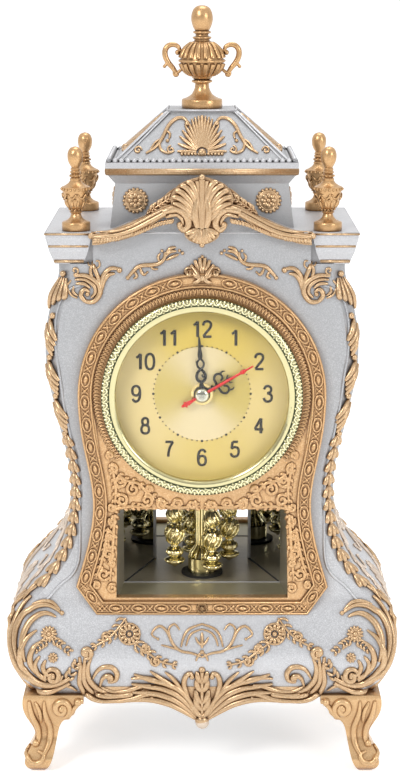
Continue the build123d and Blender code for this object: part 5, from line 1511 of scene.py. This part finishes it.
urn = {
    "look": "warmGold",
    "segments": 48,
    "profile": [
        (2, [(10.1, 339), (10.3, 339.6), (10.3, 342.8), (9.8, 343.6), (8, 344.2), (5.2, 346), (3.7, 349)]),
        (1, [(3.5, 351.0), (4.6, 352.0), (4.6, 352.9), (3.9, 353.3), (5.0, 353.9), (5.2, 354.5)]),
        (
            3,
            [(6.2, 355.2), (8.6, 357.4), (10.4, 360.6), (11.1, 362.6)]
            + [(10.4, 365.4), (8.4, 369), (5.4, 371.8)],
        ),
        (1, [(3.9, 372.6), (3.9, 373.4), (4.4, 373.9), (3.4, 374.5), (3.2, 375.6), (3.9, 376.3), (3.9, 377)]),
        (4, [(3.5, 377.4), (4.6, 379.4), (5.4, 382.4), (5.3, 385.4), (4.2, 388.2), (2.4, 389.6), (0.3, 390)]),
    ],
    "ribs": [
        (18, (0.6, 1.2, 1.3), [(5.6, 371.6), (8.5, 368.9), (10.2, 365.8), (10.7, 364.0)]),
        (18, (1.3, 1.2, 0.6), [(10.7, 361.4), (9.9, 359.4), (8.2, 357.0), (5.9, 355.3)]),
    ],
    "fillets": [(11.2, 362.6, 0.8), (4.2, 374.0, 0.6), (4.0, 376.7, 0.6), (4.6, 352.4, 0.7)],
}
makeTurned("urn_turned", urn, [(0, 0)], stands=["urn_finial"])

# the urn's handles: a long double curve with a curl at each end and a spur outside
handleLine = [(178, 53), (179.5, 50), (178, 46.5), (173.5, 44.6), (168.5, 45.6), (165.4, 49.5), (165, 54.5)]
handleLine += [(166.6, 59.5), (169.5, 64), (172.8, 67.8), (175, 71), (177.5, 72.5), (182.5, 68.5)]
urnHandle = {
    "plane": 0.0,
    "look": "warmGold",
    "stands": ["urn_handles"],
    "roundness": 3,
    "ribs": [
        ((0.7, 1.5, 0.7), handleLine),
        ((1.0, 0.9, 0.6), [(169, 63.5), (166.2, 64.4), (164.4, 66.6)]),
        ((0.9, 0.9, 0.6), [(178, 49), (181, 50.5), (184, 50.5)]),
        ((0.8, 0.8, 0.5), [(175, 71), (174, 73.5), (175.5, 75.8), (178, 75)]),
    ],
    "balls": [(177.6, 52.4, 1.35), (176.6, 74.4, 1.3), (164.4, 66.4, 0.9)],
}
makeRelief("urn_handles_cast", urnHandle)

cornerUrn = {
    "look": "warmGold",
    "segments": 32,
    "profile": [
        (2, [(6.8, 282.1), (7, 282.6), (7, 285.6), (6.6, 286.4), (4.6, 287.2), (3, 288.6), (2.4, 290.4)]),
        (2, [(3.2, 291.2), (2.6, 292.2), (3.4, 293), (4.8, 295.6), (6, 299), (6.6, 301.6), (6.9, 302.4)]),
        (1, [(6.9, 303.6), (5.4, 304.2), (3.6, 305.4), (2.7, 306.6), (2.9, 307.4), (2.2, 308.2), (2.8, 309)]),
        (1, [(2.1, 309.8), (2.8, 310.7), (2.1, 311.5), (2.5, 312.2)]),
        (3, [(1.9, 313), (2.4, 313.8), (3.4, 315.8), (3.8, 318), (3.6, 320.4), (2.4, 322.5), (0.2, 323.3)]),
    ],
    "ribs": [
        (8, (0.4, 0.6, 0.4), [(6.5, 300.4), (5.6, 298.6), (6.3, 298.4), (6.6, 300.4)], 0.2, 1.0),
        (10, (0.4, 0.8, 0.4), [(3.4, 293.2), (4.6, 295.2), (5.2, 297.4)]),
    ],
    "pearls": [(6.9, 302.6, 20, 0.75), (3.3, 292.6, 12, 0.55), (2.6, 309.0, 9, 0.6), (5.7, 297.6, 8, 0.7)],
}
urnCentres = [(0.062 * signs[0], 0.039 * signs[1]) for signs in allCorners]
makeTurned("corner_urns", cornerUrn, urnCentres, segments=6, stands=["corner_finials"])

pendant = {
    "look": "pendulumGold",
    "segments": 28,
    "orbit": 15.5 * mm,
    "turn": 20.0,
    "profile": [
        (3, [(0.8, 97.2), (2.0, 98.2), (4.6, 99.6), (5.3, 100.8), (4.6, 101.8), (2.6, 102.6), (3.8, 103.6)]),
        (3, [(4.8, 105), (4.4, 106.6), (2.8, 108), (2, 109.2), (2.8, 110.6), (4.2, 113.4), (4.6, 116.4)]),
        (3, [(3.8, 119.2), (2.4, 121), (1.9, 122), (3, 123.2), (4, 125.8), (3.4, 128.6), (2, 130.6)]),
        (1, [(1.9, 132.2)]),
    ],
    "ribs": [
        (8, (0.4, 0.8, 0.5), [(2.4, 110.0), (4.2, 112.6), (4.9, 116.0), (4.0, 119.4)], 0, 1.5),
        (7, (0.4, 0.7, 0.4), [(2.2, 122.4), (3.6, 124.4), (4.2, 126.4), (2.6, 130.0)], 0, -1.2),
        (9, (0.6, 0.6, 0.3), [(4.4, 105.4), (3.3, 107.6)]),
    ],
    "pearls": [(5.1, 101.0, 14, 0.5), (4.6, 117.2, 7, 0.9), (3.9, 111.6, 6, 0.8), (3.4, 121.4, 6, 0.7)],
}
pendantCentres = []
for quarter in range(4):
    angle = math.radians(pendant["turn"] + 90 * quarter)
    pendantCentres.append((pendant["orbit"] * math.cos(angle), pendant["orbit"] * math.sin(angle)))
makeTurned("pendants_cast", pendant, pendantCentres, body="pendulum", stands=["pendants"])

columnFlutes = [
    (12, 0.8, [(3.0, 108.0), (3.0, 132.2)]),
    (12, (0.5, 0.6, 0.4), [(6.6, 101.4), (6.4, 103.4), (4.8, 105.6), (3.6, 107.2), (3.1, 108.2)]),
]
flutes = [rib for ribs in columnFlutes for rib in around((0, 0), *ribs)]
cast("column_flutes", "pendulumGold", flutes, body="pendulum")
print("turned pieces made")

# Dial frame: egg-and-flower band, teeth round the dial and scrollwork in its corners
frameTree = treeOf("dial_frame")
frameBand = {
    "radius": 62.0,
    "centre": Vector((0, 0, 200.0)),
    "cornerX": 64.2,
    "cornerHeight": 100.3,
    "footX": 54.0,
    "footHeight": 85.4,
    "bandY": -0.0484,
    "plateY": -0.0472,
    "fillets": [(0.6, 0.6, 0.1), (6.5, 0.6, 0.1), (1.9, 0.3, 0.0), (5.2, 0.3, 0.0)],
    "middleInset": 3.5,
    "pitch": 11.6,
    "sideStart": 5.0,
    "footStart": 9.2,
    "ovalReach": (3.6, 2.1),
    "teeth": 66,
    "hook": [(-0.55, 51.0), (-0.6, 53.0), (-0.1, 54.3), (0.55, 53.6), (0.5, 52.0)],
}


# left half of the frame's outline, drawn in by an inset: from the top down, millimetres
def frameLine(inset):
    points = []
    reach = frameBand["radius"] - inset
    for step in range(19):
        angle = math.radians(90 + 5 * step)
        points.append((reach * math.cos(angle), frameBand["centre"].z + reach * math.sin(angle)))
    for height in range(194, int(frameBand["cornerHeight"]) + 2, -6):
        edge = frameTree.ray_cast(Vector((-0.1, -0.0475, height * mm)), Vector((1, 0, 0)))[0]
        points.append((edge.x / mm + inset * 1.02, height))
    points.append((-frameBand["cornerX"] + 1.09 * inset, frameBand["cornerHeight"] + 0.17 * inset))
    points.append((-frameBand["footX"] + 0.53 * inset, frameBand["footHeight"] + inset))
    points.append((0, frameBand["footHeight"] + inset))
    return [Vector((x, 0, z)) for x, z in points]


def onBand(points, lift, y=frameBand["bandY"]):
    return [Vector((point.x * mm, y - lift * mm, point.z * mm)) for point in points]


# places every so far along a line, each with its direction
def walk(line, first, pitch):
    found, travelled, target = [], 0.0, first
    for start, end in zip(line, line[1:]):
        length = (end - start).length
        while target <= travelled + length:
            found.append((start.lerp(end, (target - travelled) / length), (end - start).normalized()))
            target += pitch
        travelled += length
    return found


def acrossOf(along):
    return Vector((-along.z, 0, along.x))


def ovalOf(middle, along, reach, count=12):
    ring = []
    for step in range(count):
        angle = 2 * math.pi * step / count
        ahead, aside = along * reach[0] * math.cos(angle), acrossOf(along) * reach[1] * math.sin(angle)
        ring.append(middle + ahead + aside)
    return ring


def makeFrameBand():
    strokes, balls = [], []
    for inset, radius, lift in frameBand["fillets"]:
        strokes.append(stroke(onBand(frameLine(inset), lift), radius))
    middle = frameLine(frameBand["middleInset"])
    side, chamfer, foot = middle[-3::-1], middle[-3:-1], middle[:-3:-1]

    def along(shift):
        found = walk(side, frameBand["sideStart"] + shift, frameBand["pitch"])[:-1]
        return found + walk(foot, frameBand["footStart"] + shift, frameBand["pitch"])

    ovals = along(0) + walk(chamfer, (chamfer[1] - chamfer[0]).length / 2, 1000)
    flowers = along(frameBand["pitch"] / 2)
    flowers += [(chamfer[0], Vector((0, 0, 1))), (chamfer[1], Vector((1, 0, 0)))]
    for place, ahead in ovals:
        strokes.append(stroke(onBand(ovalOf(place, ahead, frameBand["ovalReach"]), 0.25), 0.52, True))
        seed = [place + ahead * reach for reach in (-1.9, -0.7, 0.7, 1.9)]
        strokes.append(stroke(onBand(seed, 0.2), (0.5, 1.3, 0.5)))
    for place, ahead in flowers:
        across = acrossOf(ahead)
        for leaf in (ahead + across, ahead - across, -ahead + across, -ahead - across):
            ends = onBand([place + leaf * 0.4], 0.2) + onBand([place + leaf * 1.6], 0.1)
            strokes.append(stroke(ends, (0.5, 0.95, 0.4)))
        balls.append((*onBand([place], 0.5), 0.85))
    roundel = ovalOf(middle[-1], Vector((1, 0, 0)), (2.5, 2.5), 16)
    strokes.append(stroke(onBand(roundel, 0.3), 0.5, True))
    balls.append((*onBand(middle[-1:], 0.3), 1.4))
    for tooth in range(frameBand["teeth"]):
        angle = math.radians(90 + 128 * (tooth + 0.5) / frameBand["teeth"])
        outward = Vector((math.cos(angle), 0, math.sin(angle)))
        hook = [outward * reach + acrossOf(outward) * off for off, reach in frameBand["hook"]]
        places = onBand([frameBand["centre"] + point for point in hook], 0.2, frameBand["plateY"])
        strokes.append(stroke(places, (0.4, 0.55, 0.35)))
    cast("frame_band", "frameGold", strokes, balls, bothSides, roundness=1)


makeFrameBand()

scrollCentres = [(120, 481, 5.6), (133, 489, 6.4), (122, 500, 5.6), (147, 500, 6), (162, 503.5, 4.6)]
scrollCentres += [(177, 503.5, 4.6), (192, 504, 4), (112.5, 521, 4), (110.5, 536, 4.8), (108.5, 554, 5.2)]
scrollCentres += [(104, 574, 5.8), (112.5, 588, 4.4), (96, 585, 3.6), (113.5, 468, 4.2), (110, 455, 3.6)]
scrollCentres += [(149, 489, 3.4), (111.5, 507, 4), (107, 545, 3), (112, 564, 3)]
tendrils = [
    [(118, 474), (126, 480), (138, 483), (148, 493), (156, 497)],
    [(114, 510), (119, 508), (130, 506), (139, 506.5), (152, 508)],
    [(156, 499), (168, 506.5), (184, 507), (200, 506)],
    [(115, 514), (114, 527), (113, 543), (112, 560), (110, 581)],
    [(108, 527), (105, 545), (101, 563), (96, 577)],
    [(112, 462), (114, 476), (116, 490), (115, 503)],
]
scrollwork = {
    "tree": frameTree,
    "lift": 0.3,
    "look": "frameGold",
    "spirals": [
        ((0.9, 1.05, 0.7), column, row, reach * 1.1, 70 * index, 1.5, 1 if index % 2 else -1)
        for index, (column, row, reach) in enumerate(scrollCentres)
    ],
    "ribs": [((0.75, 1.0, 0.6), tendril) for tendril in tendrils],
    "feathers": [((0.5, 1.0, 0.4), tendril, 6, 5.0, 60, 0.9) for tendril in tendrils],
    "balls": [(column, row, 0.6) for column, row, _ in scrollCentres],
}
makeRelief("frame_scrollwork", scrollwork)

# Bezel: scallops with a spike in each and a pearl between them, and painted shade: dark rings along both
# edges of the pattern
bezelRope = {"innerRadius": 46.7, "outerRadius": 49.7, "strands": 84, "frontY": -0.0520, "edgeSteps": 120}
bezelTree = treeOf("bezel")


def onBezel(radius, angle, lift):
    place = Vector((radius * mm * math.cos(angle), 0, dial["centre"].z + radius * mm * math.sin(angle)))
    hit = bezelTree.ray_cast(place + Vector((0, -0.1, 0)), Vector((0, 1, 0)))[0]
    place.y = (hit.y if hit else bezelRope["frontY"]) - lift * mm
    return place


def makeBezelRope():
    strands, shadeRings = [], []
    pitch = 2 * math.pi / bezelRope["strands"]
    inner, outer = bezelRope["innerRadius"], bezelRope["outerRadius"]
    scallop = [(outer, -0.5), (outer - 1.3, -0.42), (inner + 0.5, 0), (outer - 1.3, 0.42), (outer, 0.5)]
    for strand in range(bezelRope["strands"]):
        angle = strand * pitch
        arch = [onBezel(radius, angle + turn * pitch, 0.1) for radius, turn in scallop]
        strands.append(stroke(smoothLine(arch, 3), (0.45, 0.55, 0.45)))
        spike = [onBezel(radius, angle, 0.15) for radius in (outer, outer - 1.0, inner + 1.3)]
        strands.append(stroke(spike, (0.6, 0.5, 0.25)))
        pearl = [onBezel(inner + 0.1, angle + turn * pitch, 0.1) for turn in (0.42, 0.5, 0.58)]
        strands.append(stroke(pearl, (0.4, 0.6, 0.4)))
    # painted shade: dark rings along both edges of the pattern
    steps = bezelRope["edgeSteps"]
    for radius in (inner - 0.25, outer + 0.1):
        ring = [onBezel(radius, 2 * math.pi * step / steps, 0.0) for step in range(steps)]
        shadeRings.append(stroke(ring, 0.4, True))
    cast("bezel_rope", "bezelPattern", strands)
    cast("bezel_shade_rings", "bezelPaintedShade", shadeRings)


makeBezelRope()


# Fillets and beads of the top: square rings (half width, half depth, height, radius), millimetres
def squareRing(x, y, z, radius, middle=(0, 0)):
    corners = [(-x, -y), (x, -y), (x, y), (-x, y)]
    return stroke([Vector((middle[0] + a, middle[1] + b, z)) * mm for a, b in corners], radius, True)


topTrim = {
    "capitalMiddle": (65.5, 36.3),
    "capitalRings": [(11.3, 11.3, 281.3, 0.6), (9.4, 10.0, 275.2, 0.7), (6.9, 7.8, 267.4, 0.8)],
    "cornice": [(47.0, 34.0, 311.2, 1.3), (47.0, 34.0, 310.5, 1.3), (46.9, 33.9, 309.8, 1.3)],
    # a dark line under the beads: painted shadow where they meet the roof
    "beadShadow": [(44.9, 31.9, 315.2, 0.7)],
    "silver": [(76.8, 47.6, 281.9, 0.35), (47.2, 34.2, 313.9, 0.5), (17.4, 12.8, 338.6, 0.6)],
    "beadLine": (46.0, 33.0, 315.5),
    "beadRadius": 1.35,
    "beadPitch": 3.15,
    "roofEdge": [(43.5, 30.5, 314.8), (16.6, 12.0, 339.0)],
    "edgeShares": [(0.0, 0.7), (0.07, 0.45)],
}


def makeTopTrim():
    gold = [squareRing(*ring) for ring in topTrim["cornice"]]
    silver = [squareRing(*ring) for ring in topTrim["silver"]]
    for signs in allCorners:
        middle = (topTrim["capitalMiddle"][0] * signs[0], topTrim["capitalMiddle"][1] * signs[1])
        gold += [squareRing(*ring, middle) for ring in topTrim["capitalRings"]]
        for share, radius in topTrim["edgeShares"]:
            ends = [Vector((x * (1 - share), y, z)) * mm for x, y, z in topTrim["roofEdge"]]
            silver.append(stroke([copied(place, signs) for place in ends], radius))
    x, y, z = topTrim["beadLine"]
    rounds = []
    for half in (x, y):
        count = round(2 * half / topTrim["beadPitch"])
        for index in range(count + 1):
            way = -half + 2 * half * index / count
            for side in (-1, 1):
                place = (way, side * y, z) if half == x else (side * x, way, z)
                rounds.append((Vector(place) * mm, topTrim["beadRadius"]))
    cast("top_fillets", "copperGold", gold)
    # painted shadow: a dark square ring along the beads' foot
    beadShadow = [squareRing(*ring) for ring in topTrim["beadShadow"]]
    cast("bead_shadow_line", "blackPlastic", beadShadow, slot="silver_shell")
    cast("top_beads", "paleSilver", silver, rounds)


makeTopTrim()
print("top trimmed")

# Window: the mirrors' bright edges, the seams of the floor and the drop's pearl
window = {
    "mirrorCorner": (25.5, 23.7),
    "mirrorFront": (40.7, -16.2),
    "floorZ": 92.1,
    "topZ": 142.3,
    "sillJoint": (45.6, -16.6),
    "edgeRadius": 0.55,
    "seamRadius": 0.35,
    "jointRadius": 0.4,
}


def makeWindow():
    corner, front, joint = window["mirrorCorner"], window["mirrorFront"], window["sillJoint"]
    foot, top = Vector((*corner, window["floorZ"])) * mm, Vector((*corner, window["topZ"])) * mm
    front, joint = Vector((*front, window["floorZ"])) * mm, Vector((*joint, window["floorZ"])) * mm
    edges = [stroke([copied(joint, signs) for signs in bothSides], window["jointRadius"])]
    seams = []
    for signs in bothSides:
        edges.append(stroke([copied(foot, signs), copied(top, signs)], window["edgeRadius"]))
        seams.append(stroke([copied(foot, signs), copied(front, signs)], window["seamRadius"]))
    cast("mirror_edges", "paleSilver", edges)
    cast("floor_seams", "blackPlastic", seams)


makeWindow()

dropPearl = {"pixel": (202.3, 722.0), "y": -0.0512, "radius": 3.6}
pearl = beads("drop_pearl", [(onPlane(*dropPearl["pixel"], dropPearl["y"]), dropPearl["radius"])], 32)
finishPiece(pearl, "pearlGold")
print("window and drop finished")
